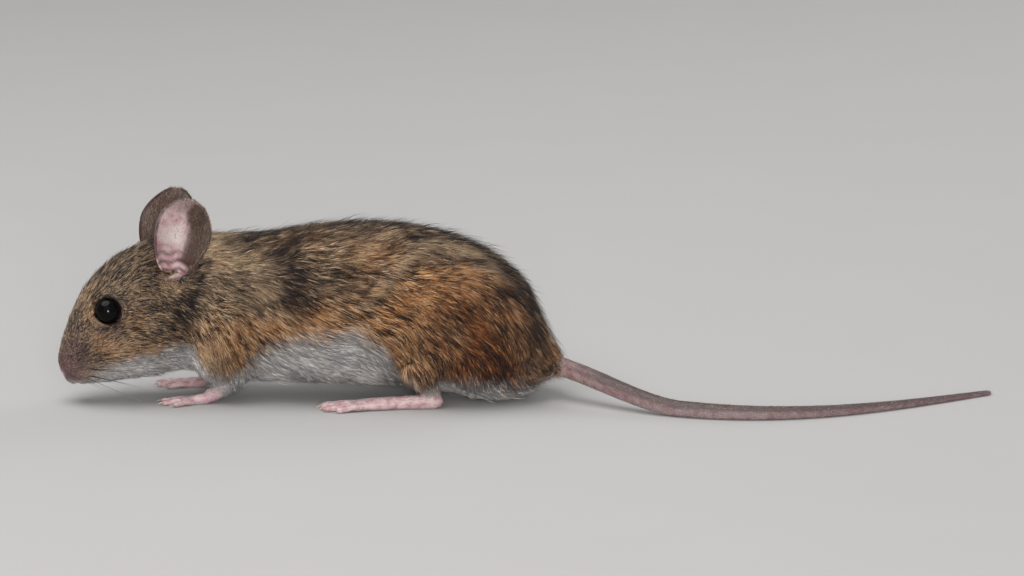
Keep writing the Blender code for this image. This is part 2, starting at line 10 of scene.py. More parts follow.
import bpy
import numpy as np
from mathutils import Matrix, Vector


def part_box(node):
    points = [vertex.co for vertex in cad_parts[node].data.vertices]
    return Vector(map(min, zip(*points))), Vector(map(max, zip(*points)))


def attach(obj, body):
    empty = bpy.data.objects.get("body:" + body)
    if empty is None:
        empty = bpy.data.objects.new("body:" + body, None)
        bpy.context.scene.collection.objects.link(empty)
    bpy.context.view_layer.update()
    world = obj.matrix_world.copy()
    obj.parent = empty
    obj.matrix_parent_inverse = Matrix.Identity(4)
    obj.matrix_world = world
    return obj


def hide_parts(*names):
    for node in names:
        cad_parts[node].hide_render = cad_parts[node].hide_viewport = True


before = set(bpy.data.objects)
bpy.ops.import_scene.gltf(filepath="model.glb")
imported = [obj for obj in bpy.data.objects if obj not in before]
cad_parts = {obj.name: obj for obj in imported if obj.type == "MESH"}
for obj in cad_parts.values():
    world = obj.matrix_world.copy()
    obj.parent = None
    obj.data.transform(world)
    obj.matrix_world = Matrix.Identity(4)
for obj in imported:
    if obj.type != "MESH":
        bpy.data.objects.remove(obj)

MM = 0.001  # shapes are worked out in millimetres and written to meshes in metres
BODY = "root"
UV_MAP = "OFBake"
SIDES = ((-1, "left"), (1, "right"))
FAR = 1e9  # further than any distance on the mouse
Array = np.ndarray
Object = bpy.types.Object
Socket = bpy.types.NodeSocket
log = logging.getLogger("field_mouse")


# ---- numbers


def smoothstep(values: Array) -> Array:
    """Runs 0 to 1 with soft ends over values 0 to 1."""
    t = np.clip(values, 0.0, 1.0)
    return t * t * (3.0 - 2.0 * t)


def rise(values: Array, start: float, width: float) -> Array:
    """0 before start and 1 from width past it; a negative width runs the other way."""
    return smoothstep((values - start) / width)


def bump(values: Array, centre: float, width: float) -> Array:
    """1 at centre, and soon 0 beyond width on either side."""
    return np.exp(-(((values - centre) / width) ** 2))


def mixed(first: Array, second: Array, share: Array) -> Array:
    """Rows of first where share is 0, and of second where it is 1."""
    return first * (1 - share) + np.asarray(second) * share


def unit(vectors: Array) -> Array:
    """Rows of vectors at length 1."""
    return vectors / np.maximum(np.linalg.norm(vectors, axis=-1, keepdims=True), 1e-9)


def flattened(vectors: Array, normals: Array) -> Array:
    """Rows of vectors laid into the planes at right angles to normals."""
    return vectors - normals * np.sum(vectors * normals, axis=1, keepdims=True)


def folded(points: Array) -> Array:
    """Points of the straight mouse, its left half laid on its right."""
    return np.column_stack((points[:, 0], np.abs(points[:, 1]), points[:, 2]))


def pivoted(first: Array, second: Array, angle: Array) -> tuple[Array, Array]:
    """Two coordinates turned by angle, from the first towards the second."""
    cos, sin = np.cos(angle), np.sin(angle)
    return first * cos - second * sin, first * sin + second * cos


def crossways(line: Array) -> tuple[Array, Array]:
    """The level directions across a line of points, and those above it.

    Args:
        line: rows along it.

    Returns:
        Unit rows sideways, and unit rows upwards.
    """
    heading = unit(np.gradient(line, axis=0))
    side = unit(np.cross(heading, (0.0, 0.0, 1.0)))
    return side, np.cross(side, heading)


def rounded(share: Array) -> Array:
    """A round end's half width, as share runs 0 to 1 from its tip."""
    return np.sqrt(np.clip(1 - (1 - np.clip(share, 0, 1)) ** 2, 0, 1))


def along_curve(rows: Array, t: Array) -> Array:
    """Points of the smooth curve through rows of numbers.

    Args:
        rows: what the curve passes through, one row each.
        t: places on it, counted in rows from 0.

    Returns:
        One row for each place.
    """
    last = len(rows) - 1
    i = np.minimum(t.astype(int), last - 1)
    f = (t - i)[:, None]
    a, b = rows[np.maximum(i - 1, 0)], rows[i]
    c, d = rows[i + 1], rows[np.minimum(i + 2, last)]
    cubic = (3 * b - a - 3 * c + d) * f**3
    return 0.5 * (2 * b + (c - a) * f + (2 * a - 5 * b + 4 * c - d) * f**2 + cubic)


@dataclass(frozen=True)
class Ripple:
    """A smooth seeded pattern in space, made of a few crossing waves."""

    size: float
    seed: int
    waves: int = 10

    def at(self, points: Array) -> Array:
        """Values from about -1 to 1 at the points.

        Args:
            points: rows of places.

        Returns:
            One value for each.
        """
        rng = np.random.default_rng(self.seed)
        directions = unit(rng.normal(size=(self.waves, 3)))
        pace = 2 * math.pi / (self.size * rng.uniform(0.7, 1.5, self.waves))
        phase = rng.uniform(0, 2 * math.pi, self.waves)
        total = np.zeros(len(points))
        for way, speed, start in zip(directions, pace, phase):
            total += np.sin(points @ way * speed + start)
        return total * math.sqrt(2 / self.waves) / 1.6


# ---- meshes


def select_only(*objects: Object) -> None:
    """Leaves just these objects selected, the first of them active.

    Args:
        objects: what to select.
    """
    bpy.ops.object.select_all(action="DESELECT")
    for obj in objects:
        obj.select_set(True)
    bpy.context.view_layer.objects.active = objects[0]


@contextmanager
def editing(obj: Object, action: str = "SELECT") -> Iterator[None]:
    """Edit mode on obj alone, with all of it selected, or with none on DESELECT.

    Args:
        obj: the object to edit.
        action: what is selected at the start.

    Returns:
        Nothing; the edit lasts as long as its with block.
    """
    select_only(obj)
    bpy.ops.object.mode_set(mode="EDIT")
    bpy.ops.mesh.select_all(action=action)
    yield
    bpy.ops.object.mode_set(mode="OBJECT")


def face_outwards(obj: Object) -> None:
    """Turns the faces of a closed form outwards."""
    with editing(obj):
        bpy.ops.mesh.normals_make_consistent(inside=False)


def read(rows: Sequence, name: str, width: int = 3, kind: type = float) -> Array:
    """The numbers that rows of a mesh hold under name, width to a row.

    Args:
        rows: vertices, loops or faces of a mesh, or an attribute's data.
        name: the property to read.
        width: numbers in a row.
        kind: float or int.

    Returns:
        One row for each.
    """
    values = np.empty(len(rows) * width, np.int32 if kind is int else np.float32)
    rows.foreach_get(name, values)
    return values.reshape(-1, width).astype(kind)


def coordinates(obj: Object) -> Array:
    """The places of obj's vertices in millimetres."""
    return read(obj.data.vertices, "co") / MM


def vertex_normals(obj: Object) -> Array:
    """The outward direction at each of obj's vertices."""
    return read(obj.data.vertex_normals, "vector")


def move_vertices(obj: Object, points: Array) -> None:
    """Puts obj's vertices at points, given in millimetres."""
    obj.data.vertices.foreach_set("co", (points * MM).astype(np.float32).ravel())
    obj.data.update()


def set_attribute(mesh: bpy.types.Mesh, name: str, values: Array) -> None:
    """Stores one number for each vertex under name."""
    layer = mesh.attributes.get(name) or mesh.attributes.new(name, "FLOAT", "POINT")
    layer.data.foreach_set("value", values.astype(np.float32))


def mark_along(obj: Object, root: Array, length: float) -> None:
    """Stores how far each vertex lies from root, as a share of length."""
    reach = np.linalg.norm(coordinates(obj) - root, axis=1) / length
    set_attribute(obj.data, "along", np.clip(reach, 0, 1))


def apply_modifier(obj: Object, kind: str, **settings: object) -> None:
    """Adds a modifier with these settings and applies it.

    Args:
        obj: the object to change.
        kind: the modifier's kind.
        settings: its settings by name.
    """
    select_only(obj)
    modifier = obj.modifiers.new(kind.lower(), kind)
    for name, value in settings.items():
        setattr(modifier, name, value)
    bpy.ops.object.modifier_apply(modifier=modifier.name)


def remesh(obj: Object, voxel: float, times: int) -> None:
    """Makes one even surface of obj's shells, and smooths it."""
    apply_modifier(obj, "REMESH", mode="VOXEL", voxel_size=voxel * MM)
    smooth(obj, times)


def smooth(obj: Object, times: int, **settings: object) -> None:
    """Evens out obj's surface."""
    apply_modifier(obj, "SMOOTH", factor=0.5, iterations=times, **settings)


def joined(objects: Sequence[Object], name: str) -> Object:
    """Makes one object of several, with their meshes side by side.

    Args:
        objects: what to join.
        name: the new name.

    Returns:
        The first object, which holds them all.
    """
    select_only(*objects)
    bpy.ops.object.join()
    objects[0].name = name
    objects[0].data.name = name
    return objects[0]


def united(body: Object, part: Object) -> None:
    """Grows part onto body as one closed surface, and removes part."""
    apply_modifier(body, "BOOLEAN", operation="UNION", solver="MANIFOLD", object=part)
    bpy.data.objects.remove(part)


def linked(name: str, data: bpy.types.ID) -> Object:
    """A new object in the scene that holds data."""
    obj = bpy.data.objects.new(name, data)
    bpy.context.scene.collection.objects.link(obj)
    return obj


def ball(name: str, sides: int, rings: int) -> Object:
    """A ball of radius 1 with its poles above and below.

    Args:
        name: the object's name.
        sides: vertices round it.
        rings: steps from pole to pole.

    Returns:
        The new object.
    """
    bpy.ops.object.select_all(action="DESELECT")
    bpy.ops.mesh.primitive_uv_sphere_add(segments=sides, ring_count=rings, radius=1.0)
    bpy.context.active_object.name = name
    bpy.ops.object.shade_smooth()
    return bpy.context.active_object


def grid(name: str, columns: int, rows: int, size: float) -> Object:
    """A flat square of columns by rows.

    Args:
        name: the object's name.
        columns: squares along x.
        rows: squares along y.
        size: the whole square's side.

    Returns:
        The new object.
    """
    bpy.ops.object.select_all(action="DESELECT")
    bpy.ops.mesh.primitive_grid_add(x_subdivisions=columns, y_subdivisions=rows, size=size)
    bpy.context.active_object.name = name
    return bpy.context.active_object


def spun(name: str, sides: int, rings: int, place: Callable[[Array, Array], Array]) -> Object:
    """A closed form with a pole at each end, shaped from a ball.

    Args:
        name: the object's name.
        sides: vertices round it.
        rings: steps from pole to pole.
        place: gives points for shares 0 to 1 from pole to pole and angles round it.

    Returns:
        The new object.
    """
    obj = ball(name, sides, rings)
    co = coordinates(obj) * MM
    share = np.round(np.arccos(np.clip(co[:, 2], -1, 1)) / math.pi * rings) / rings
    move_vertices(obj, place(share, np.arctan2(co[:, 1], co[:, 0])))
    face_outwards(obj)
    return obj


def limb(name: str, path: Sequence[Sequence[float]], sides: int, rings: int) -> Object:
    """A tube with round ends through a path.

    Args:
        name: the object's name.
        path: rows of x, y, z, half width and half height.
        sides: vertices round it.
        rings: steps along it.

    Returns:
        The closed tube.
    """
    rows = np.array(path, float)

    def place(share: Array, angle: Array) -> Array:
        """Points of the tube's wall.

        Args:
            share: 0 to 1 from end to end.
            angle: angles round the tube.

        Returns:
            One row for each.
        """
        steps = np.linspace(0, 1, rings + 1)
        line = along_curve(rows, steps * (len(rows) - 1))
        centre, size = line[:, :3], np.maximum(line[:, 3:], 0.0)
        side, above = crossways(centre)
        reach = np.concatenate(([0], np.cumsum(np.linalg.norm(np.diff(centre, axis=0), axis=1))))
        from_end = np.minimum(reach, reach[-1] - reach) / np.maximum(size.max(axis=1), 1e-6)
        size = size * rounded(from_end)[:, None]
        k = np.round(share * rings).astype(int)
        across = side[k] * (size[k, 0] * np.cos(angle))[:, None]
        return centre[k] + across + above[k] * (size[k, 1] * np.sin(angle))[:, None]

    return spun(name, sides, rings, place)


def finished(obj: Object, finish: bpy.types.Material) -> Object:
    """Dresses a piece, lets it ride on the body and reports it.

    Args:
        obj: the piece.
        finish: its material.

    Returns:
        The piece.
    """
    obj.data.materials.clear()
    obj.data.materials.append(finish)
    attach(obj, BODY)
    log.info("%s: %d faces", obj.name, len(obj.data.polygons))
    return obj


# ---- finishes


def shade(red: int, green: int, blue: int) -> tuple[float, float, float, float]:
    """A colour given as screen values 0 to 255.

    Args:
        red: red on the screen.
        green: green on the screen.
        blue: blue on the screen.

    Returns:
        The colour as a shader takes it.
    """
    linear = []
    for value in (red, green, blue):
        share = value / 255
        linear.append(share / 12.92 if share <= 0.04045 else ((share + 0.055) / 1.055) ** 2.4)
    return (*linear, 1.0)


class Recipe:
    """Builds one node material step by step."""

    def __init__(self, name: str, roughness: float, specular: float = 0.5) -> None:
        """Starts a material with a Principled shader.

        Args:
            name: the material's name.
            roughness: the shader's roughness.
            specular: how strongly it mirrors.
        """
        self.material = bpy.data.materials.new(name)
        self.material.use_nodes = True
        self.tree = self.material.node_tree
        self.shader = self.tree.nodes["Principled BSDF"]
        self.feed(self.shader, {"Roughness": roughness, "Specular IOR Level": specular})

    def feed(self, node: bpy.types.Node, inputs: dict) -> bpy.types.Node:
        """Feeds a node's inputs from other sockets, or sets them.

        Args:
            node: the node to feed.
            inputs: sockets or values by the inputs' names.

        Returns:
            The node.
        """
        for name, value in inputs.items():
            if isinstance(value, Socket):
                self.tree.links.new(value, node.inputs[name])
            else:
                node.inputs[name].default_value = value
        return node

    def node(self, kind: str, inputs: dict, **settings: object) -> bpy.types.Node:
        """Adds a node with these settings and inputs.

        Args:
            kind: the node's kind.
            inputs: what its inputs take.
            settings: its settings by name.

        Returns:
            The new node.
        """
        made = self.tree.nodes.new(f"ShaderNode{kind}")
        for name, value in settings.items():
            setattr(made, name, value)
        return self.feed(made, inputs)

    def attribute(self, name: str) -> Socket:
        """The number stored on the mesh under name."""
        return self.node("Attribute", {}, attribute_name=name).outputs["Fac"]

    def pattern(self, kind: str, size: float, **inputs: float) -> bpy.types.Node:
        """A pattern in space whose features are about size millimetres."""
        place = self.node("TexCoord", {}).outputs["Object"]
        return self.node(kind, {"Scale": 1 / (size * MM), "Vector": place} | inputs)

    def noise(self, size: float, detail: float) -> Socket:
        """A cloudy pattern."""
        return self.pattern("TexNoise", size, Detail=detail).outputs["Fac"]

    def sums(self, operation: str, first: object, second: object) -> Socket:
        """Two numbers put through a Math operation."""
        return self.node("Math", {0: first, 1: second}, operation=operation).outputs[0]

    def ramp(self, value: object, *stops: tuple[float, tuple]) -> Socket:
        """A colour read off a ramp of (place, colour) stops.

        Args:
            value: what the ramp is read by.
            stops: places 0 to 1 with their colours.

        Returns:
            The colour.
        """
        made = self.node("ValToRGB", {"Fac": value})
        points = made.color_ramp.elements
        while len(points) < len(stops):
            points.new(0.5)
        for point, (where, colour) in zip(points, stops):
            point.position = where
            point.color = colour
        return made.outputs["Color"]

    def blend(self, share: object, first: object, second: object) -> Socket:
        """Two colours mixed by share."""
        inputs = {"Factor": share, "A": first, "B": second}
        return self.node("Mix", inputs, data_type="RGBA").outputs["Result"]

    def layers(self, base: object, **layers: object) -> Socket:
        """A base colour with others laid over it, each by the number stored under its name."""
        for name, colour in layers.items():
            base = self.blend(self.attribute(name), base, colour)
        return base

    def span(self, value: object, low: float, high: float) -> Socket:
        """0 below low, 1 above high and soft between."""
        inputs = {"From Min": low, "From Max": high, "Value": value}
        return self.node("MapRange", inputs, interpolation_type="SMOOTHSTEP").outputs["Result"]

    def relief(self, height: object, strength: float, depth: float) -> None:
        """Gives the shader a bump of height, depth millimetres deep."""
        bump_node = self.node("Bump", {"Strength": strength, "Distance": depth * MM, "Height": height})
        self.feed(self.shader, {"Normal": bump_node.outputs["Normal"]})

    def coloured(self, value: object) -> bpy.types.Material:
        """The material, once its surface has this colour."""
        self.feed(self.shader, {"Base Color": value})
        return self.material


@dataclass(frozen=True)
class CoatFinish:
    """Banded hair: slate roots, then ochre, brown or black tips, and white ones below."""

    root: tuple = shade(58, 56, 62)
    black: tuple = shade(34, 31, 33)
    brown: tuple = shade(126, 102, 86)
    ochre: tuple = shade(208, 172, 132)
    buff: tuple = shade(246, 222, 188)
    amber: tuple = shade(232, 174, 112)
    rust: tuple = shade(188, 112, 58)
    deep_rust: tuple = shade(120, 68, 36)
    white: tuple = shade(242, 236, 230)
    grey: tuple = shade(150, 146, 148)
    mauve: tuple = shade(98, 70, 74)
    rose: tuple = shade(196, 154, 146)

    def material(self) -> bpy.types.Material:
        """The hair's material: a hair's chance picks its tip, from a ramp for each marking.

        Returns:
            The finished material.
        """
        make = Recipe("coat_finish", roughness=0.55, specular=0.35)
        chance = make.attribute("chance")
        black, brown, ochre, buff, amber = self.black, self.brown, self.ochre, self.buff, self.amber
        rust, white, grey, rose = self.rust, self.white, self.grey, self.rose
        tip = make.layers(
            make.ramp(chance, (0, black), (0.32, black), (0.44, brown), (0.64, ochre), (0.84, buff),
                      (1, ochre)),
            dark=make.ramp(chance, (0, black), (0.66, black), (0.78, brown), (0.94, ochre), (1, brown)),
            warm=make.ramp(chance, (0, black), (0.12, black), (0.24, rust), (0.50, amber), (0.84, buff),
                           (1, amber)),
            rust=make.ramp(chance, (0, black), (0.26, black), (0.42, self.deep_rust), (0.70, rust),
                           (0.94, amber), (1, rust)),
            rosy=make.ramp(chance, (0, black), (0.26, black), (0.50, self.mauve), (0.90, rose), (1, rose)),
            buff=make.ramp(chance, (0, brown), (0.2, ochre), (0.5, buff), (1, ochre)),
            pale=make.ramp(chance, (0, grey), (0.16, grey), (0.42, white), (0.9, white), (1, grey)),
        )
        root = make.layers(self.root, pale=grey)
        return make.coloured(make.blend(make.span(make.attribute("along"), 0.05, 0.55), root, tip))


@dataclass(frozen=True)
class SkinFinish:
    """Bare pink skin on ears, nose, feet and tail, and dull skin where the coat covers it."""

    under_coat: tuple = shade(66, 56, 50)
    under_white: tuple = shade(168, 158, 152)
    under_orange: tuple = shade(112, 82, 58)
    pink: tuple = shade(214, 187, 184)
    flush: tuple = shade(182, 130, 138)
    # painted light: the bright patch where light shines through the thin ear
    ear_glow: tuple = shade(216, 202, 196)
    # the ears' brown backs and rear flanges: partly their own brown, partly painted shade under the rear
    # flange
    dusky: tuple = shade(90, 66, 54)
    tail_grey: tuple = shade(92, 78, 76)
    muzzle: tuple = shade(114, 82, 82)
    # painted shade: the dark laid into the nostrils, the mouth groove, the edge of the lids, the ears' rims,
    # flanges and canal folds and the grooves of the tail, which also darkens towards its tip
    crease: tuple = shade(48, 28, 28)
    glow_depth: tuple = (0.001, 0.0004, 0.0002)

    def material(self) -> bpy.types.Material:
        """The skin's material.

        Returns:
            The finished material.
        """
        make = Recipe("skin_finish", roughness=0.52, specular=0.4)
        covered = make.layers(self.under_coat, warm=self.under_orange, rosy=self.muzzle,
                              pale=self.under_white)
        bare = make.blend(make.span(make.noise(1.6, 3.0), 0.35, 0.70), self.pink, self.flush)
        bare = make.layers(bare, dusk=self.dusky, glow=self.ear_glow, slate=self.tail_grey)
        cells = make.pattern("TexVoronoi", 0.28).outputs["Distance"]
        make.relief(make.sums("ADD", cells, make.noise(0.5, 3.0)), strength=0.5, depth=0.05)
        make.feed(make.shader, {"Subsurface Weight": 0.12, "Subsurface Radius": self.glow_depth,
                                "Subsurface Scale": 1.0})
        return make.coloured(make.layers(covered, bare=bare, crease=self.crease))


@dataclass(frozen=True)
class EyeFinish:
    """A wet black eye."""

    dark: tuple = shade(2, 2, 2)
    depth: tuple = shade(6, 4, 4)

    def material(self) -> bpy.types.Material:
        """The eye's material."""
        make = Recipe("eye_finish", roughness=0.02, specular=0.13)
        return make.coloured(make.blend(make.noise(2.0, 1.0), self.dark, self.depth))


@dataclass(frozen=True)
class HornFinish:
    """Clear pale horn, darker at its root."""

    pale: tuple = shade(206, 186, 172)
    root: tuple = shade(150, 112, 98)

    def material(self) -> bpy.types.Material:
        """The claws' material."""
        make = Recipe("claw_finish", roughness=0.3)
        return make.coloured(make.layers(self.root, along=self.pale))


@dataclass(frozen=True)
class WhiskerFinish:
    """Stiff hair, dark from the root and clear at the tip."""

    dark: tuple = shade(30, 24, 22)
    clear: tuple = shade(150, 140, 132)

    def material(self) -> bpy.types.Material:
        """The whiskers' material."""
        make = Recipe("whisker_finish", roughness=0.35)
        share = make.span(make.attribute("along"), 0.35, 1.0)
        return make.coloured(make.blend(share, self.dark, self.clear))


@dataclass(frozen=True)
class FloorFinish:
    """A plain pale floor."""

    tone: tuple = shade(186, 184, 181)
    shadow: tuple = shade(160, 158, 156)

    def material(self) -> bpy.types.Material:
        """The floor's material."""
        make = Recipe("floor_finish", roughness=0.85, specular=0.2)
        share = make.sums("MULTIPLY", make.noise(30.0, 2.0), 0.10)
        return make.coloured(make.blend(share, self.tone, self.shadow))


# ---- the animal's layout


@dataclass(frozen=True)
class Posture:
    """Leads between the frame and the straight mouse that the parts are laid out on.

    On the straight mouse x runs to the tail and y is 0 on its mid-plane. The neck turns the head.
    """

    rump_end: float = 6.85  # the straight mouse's origin lies this far in front of the trunk's rear end
    head_turn: float = math.radians(11)
    head_roll: float = math.radians(4)
    pivot: tuple = (-60.0, 0.0, 18.0)
    turn_starts: float = -56.0
    turn_ends: float = -72.0
    rounds: int = 6  # steps that find a point's place on the straight mouse

    @property
    def origin(self) -> Array:
        """The straight mouse's origin in the frame, in millimetres."""
        low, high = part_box("trunk")
        return np.array((high.x / MM - self.rump_end, (low.y + high.y) / 2 / MM, 0.0))

    def turn_share(self, x: Array) -> Array:
        """How much of the neck's turn has been made at x."""
        return smoothstep((self.turn_starts - x) / (self.turn_starts - self.turn_ends))

    def rotated(self, vectors: Array, share: Array, back: bool = False) -> Array:
        """Directions turned with the head.

        Args:
            vectors: rows of directions.
            share: how much of the turn each of them takes.
            back: whether to undo the turn.

        Returns:
            The turned rows.
        """
        yaw, roll = self.head_turn * share, -self.head_roll * share
        x, y, z = vectors.T
        if back:
            x, y = pivoted(x, y, -yaw)
            y, z = pivoted(y, z, -roll)
        else:
            y, z = pivoted(y, z, roll)
            x, y = pivoted(x, y, yaw)
        return np.column_stack((x, y, z))

    def turned(self, points: Array) -> Array:
        """Places in the frame of points on the straight mouse."""
        share = self.turn_share(points[:, 0])
        return self.rotated(points - self.pivot, share) + self.pivot + self.origin

    def straight(self, points: Array) -> Array:
        """Places on the straight mouse of points in the frame.

        Args:
            points: rows in millimetres.

        Returns:
            One row for each.
        """
        local = points - self.origin
        guess = local
        for _ in range(self.rounds):
            share = self.turn_share(guess[:, 0])
            guess = self.rotated(local - self.pivot, share, back=True) + self.pivot
        return guess

    def straight_skin(self, skin: Object) -> tuple[Array, Array, Array]:
        """The skin's vertices on the straight mouse, their normals there, and their share of the turn."""
        points = self.straight(coordinates(skin))
        share = self.turn_share(points[:, 0])
        return points, self.rotated(vertex_normals(skin), share, back=True), share


@dataclass(frozen=True)
class Guide:
    """How the coat lies round one place of the right half of the straight mouse."""

    place: tuple[float, float, float]
    heading: tuple[float, float, float]
    length: float
    lift: float
    width: float
    reach: float
    density: float


# rows of place, heading, length, lift, width, reach and density
GUIDES = tuple(Guide(row[:3], row[3:6], *row[6:]) for row in (
    (-89.5, 0, 8, 0.45, 0, 0.9, 0.52, 12, 0.065, 3, 84),
    (-87, 2.8, 8.5, 0.75, 0.2, 0.55, 0.71, 12, 0.072, 3.5, 77),
    (-88, 2.5, 5, 0.9, 0.2, 0.1, 0.57, 12, 0.065, 2.6, 77),
    (-86.5, 0, 15, 0.5, 0, 0.87, 0.9, 13, 0.086, 3.5, 63),
    (-83, 1.5, 21, 0.6, 0.1, 0.8, 1.35, 18, 0.094, 3.5, 53),
    (-79, 1.5, 25.5, 0.75, 0.1, 0.65, 1.65, 20, 0.087, 4, 56),
    (-73, 2, 29.5, 0.95, 0.1, 0.3, 2.15, 22, 0.099, 4.5, 50),
    (-84.5, 4.2, 13, 0.8, 0.2, 0.55, 0.9, 12, 0.079, 3, 67),
    (-81, 5.5, 13.5, 0.95, 0.1, 0.2, 1.09, 12, 0.086, 3, 62),
    (-77.5, 6, 18, 0.95, 0.1, 0.15, 1.19, 12, 0.086, 3, 59),
    (-81, 5, 22, 0.75, 0.1, 0.6, 1.09, 12, 0.086, 2.6, 62),
    (-74, 7.5, 14, 1, 0.1, -0.1, 1.8, 15, 0.093, 4.5, 53),
    (-80, 5, 8, 0.97, 0.1, -0.1, 1.44, 15, 0.087, 3.5, 59),
    (-84, 1.5, 4, 0.95, 0, -0.1, 0.95, 14, 0.086, 3, 59),
    (-72, 2, 4.5, 0.97, 0, -0.2, 2.34, 16, 0.105, 4.5, 40),
    (-70.5, 6.5, 22, 0.75, 0.3, -0.35, 1.71, 18, 0.093, 4, 53),
    (-66, 1.5, 31, 0.98, 0, 0.15, 2.45, 22, 0.112, 5, 38),
    (-63, 8.5, 18, 0.85, 0.1, -0.5, 2.4, 18, 0.112, 5.5, 38),
    (-56.5, 9.5, 13, 0.6, 0.1, -0.8, 2.52, 17, 0.112, 5, 33),
    (-57.5, 9, 6.5, 0.25, 0, -0.97, 1.8, 15, 0.093, 3.5, 40),
    (-56, 4, 4, 0.6, 0, -0.6, 1.98, 15, 0.099, 4.5, 33),
    (-50, 0, 31.5, 1, 0, 0.05, 3.36, 19, 0.13, 7, 26),
    (-46, 10, 20, 0.93, 0.1, -0.35, 3.2, 18, 0.124, 7, 28),
    (-42, 9, 9, 0.92, 0.1, -0.35, 3.04, 16, 0.124, 6, 24),
    (-42, 0, 2, 1, 0, 0, 2.72, 13, 0.124, 7, 16),
    (-30, 0, 33, 1, 0, 0, 3.68, 18, 0.13, 8, 26),
    (-30, 11, 18, 0.93, 0.1, -0.32, 3.44, 17, 0.13, 6, 26),
    (-23, 11.5, 12, 0.6, 0.1, -0.78, 2.72, 15, 0.118, 5, 30),
    (-18, 9.5, 25, 0.93, 0.1, -0.25, 3.04, 16, 0.124, 6, 28),
    (-12, 13.5, 17, 0.8, 0.1, -0.6, 2.96, 15, 0.124, 6, 28),
    (-14, 12.5, 8, 0.3, 0, -0.95, 2.56, 14, 0.112, 4.5, 32),
    (-4, 11, 8, 0.45, 0, -0.88, 2.88, 15, 0.118, 5, 30),
    (-8, 0, 30, 0.9, 0, -0.4, 4, 20, 0.13, 8, 24),
    (0.5, 7, 20, 0.6, 0.1, -0.78, 3.68, 20, 0.13, 6, 26),
    (5, 0, 14, 0.6, 0, -0.8, 3.68, 22, 0.124, 5, 26),
    (-4, 5, 1.5, 0.9, 0, -0.2, 3.04, 14, 0.124, 6, 23),
    (-20, 7, 5, 0.42, 0, -0.88, 1.9, 14, 0.1, 3.5, 36),
    (-22, 0, 2, 1, 0, 0, 2.72, 13, 0.124, 6, 16),
))


class Comb:
    """Blends the guides into one lie, length and lift for the coat at every point."""

    closest: float = 0.15  # keeps one guide from counting alone
    backwards: float = 0.9  # how far the hair turns to the tail where the guides point into the skin

    def __init__(self, guides: Sequence[Guide]) -> None:
        """Takes the guides apart into arrays.

        Args:
            guides: the guides to blend.
        """
        self.places = np.array([g.place for g in guides])
        self.headings = unit(np.array([g.heading for g in guides]))
        self.reaches = np.array([g.reach for g in guides])
        self.traits = np.array([(g.length, g.lift, g.width, g.density) for g in guides])

    def shares(self, points: Array) -> Array:
        """How much each guide counts at points of the straight mouse.

        Args:
            points: rows of places.

        Returns:
            A row for each point, which adds up to 1.
        """
        half = folded(points)
        weights = np.empty((len(points), len(self.places)))
        for k, (place, reach) in enumerate(zip(self.places, self.reaches)):
            near = np.sum((half - place) ** 2, axis=1) / reach**2
            weights[:, k] = 1.0 / (self.closest + near) ** 3
        return weights / weights.sum(axis=1, keepdims=True)

    def traits_at(self, points: Array) -> Array:
        """Rows of length, lift in degrees, width and density at points."""
        return self.shares(points) @ self.traits

    def lie(self, points: Array, normals: Array) -> Array:
        """The direction of the coat along the surface.

        Args:
            points: places on the straight mouse.
            normals: the surface's outward directions there.

        Returns:
            Unit rows at right angles to the normals.
        """
        heading = self.shares(points) @ self.headings
        heading[:, 1] *= np.tanh(points[:, 1] / 2.0)
        flat = flattened(heading, normals)
        weak = rise(np.linalg.norm(flat, axis=1, keepdims=True), 0.5, -0.35)
        tailwards = np.array((1.0, 0.0, 0.0)) - normals * normals[:, :1]
        return unit(flat + self.backwards * weak * tailwards)

    def depth(self, points: Array) -> Array:
        """How far the tips of the coat stand over the skin."""
        length, lift = self.traits_at(points)[:, :2].T
        angle = np.radians(lift)
        return length * (0.5 * np.sin(angle) + 0.5 * np.sin(angle / 3))


@dataclass(frozen=True)
class Patch:
    """A soft round patch on both sides of the straight mouse: of a marking, or of a hollow in the skin."""

    place: tuple[float, float, float]
    size: tuple[float, float, float]
    strength: float

    def at(self, points: Array) -> Array:
        """Its strength at points."""
        return self.strength * np.exp(-np.sum(((folded(points) - self.place) / self.size) ** 2, axis=1))


def patches(*rows: tuple[float, ...]) -> tuple[Patch, ...]:
    """Patches from rows that give their place, size and strength."""
    return tuple(Patch(row[:3], row[3:6], row[6]) for row in rows)


@dataclass(frozen=True)
class Streak:
    """A soft band of one marking along a line on both flanks, given as x and z."""

    width: float
    strength: float
    line: tuple
    steps: int = 40
    inner: float = 1.5  # how far from the mid-plane it starts

    def at(self, points: Array) -> Array:
        """Its strength at points of the straight mouse.

        Args:
            points: rows of places.

        Returns:
            One value for each.
        """
        rows = along_curve(np.array(self.line, float), np.linspace(0, len(self.line) - 1, self.steps))
        flat = points[:, (0, 2)]
        away = np.full(len(points), FAR)
        for row in rows:
            away = np.minimum(away, np.sum((flat - row) ** 2, axis=1))
        return self.strength * np.exp(-away / self.width**2) * rise(np.abs(points[:, 1]), self.inner, 3.0)


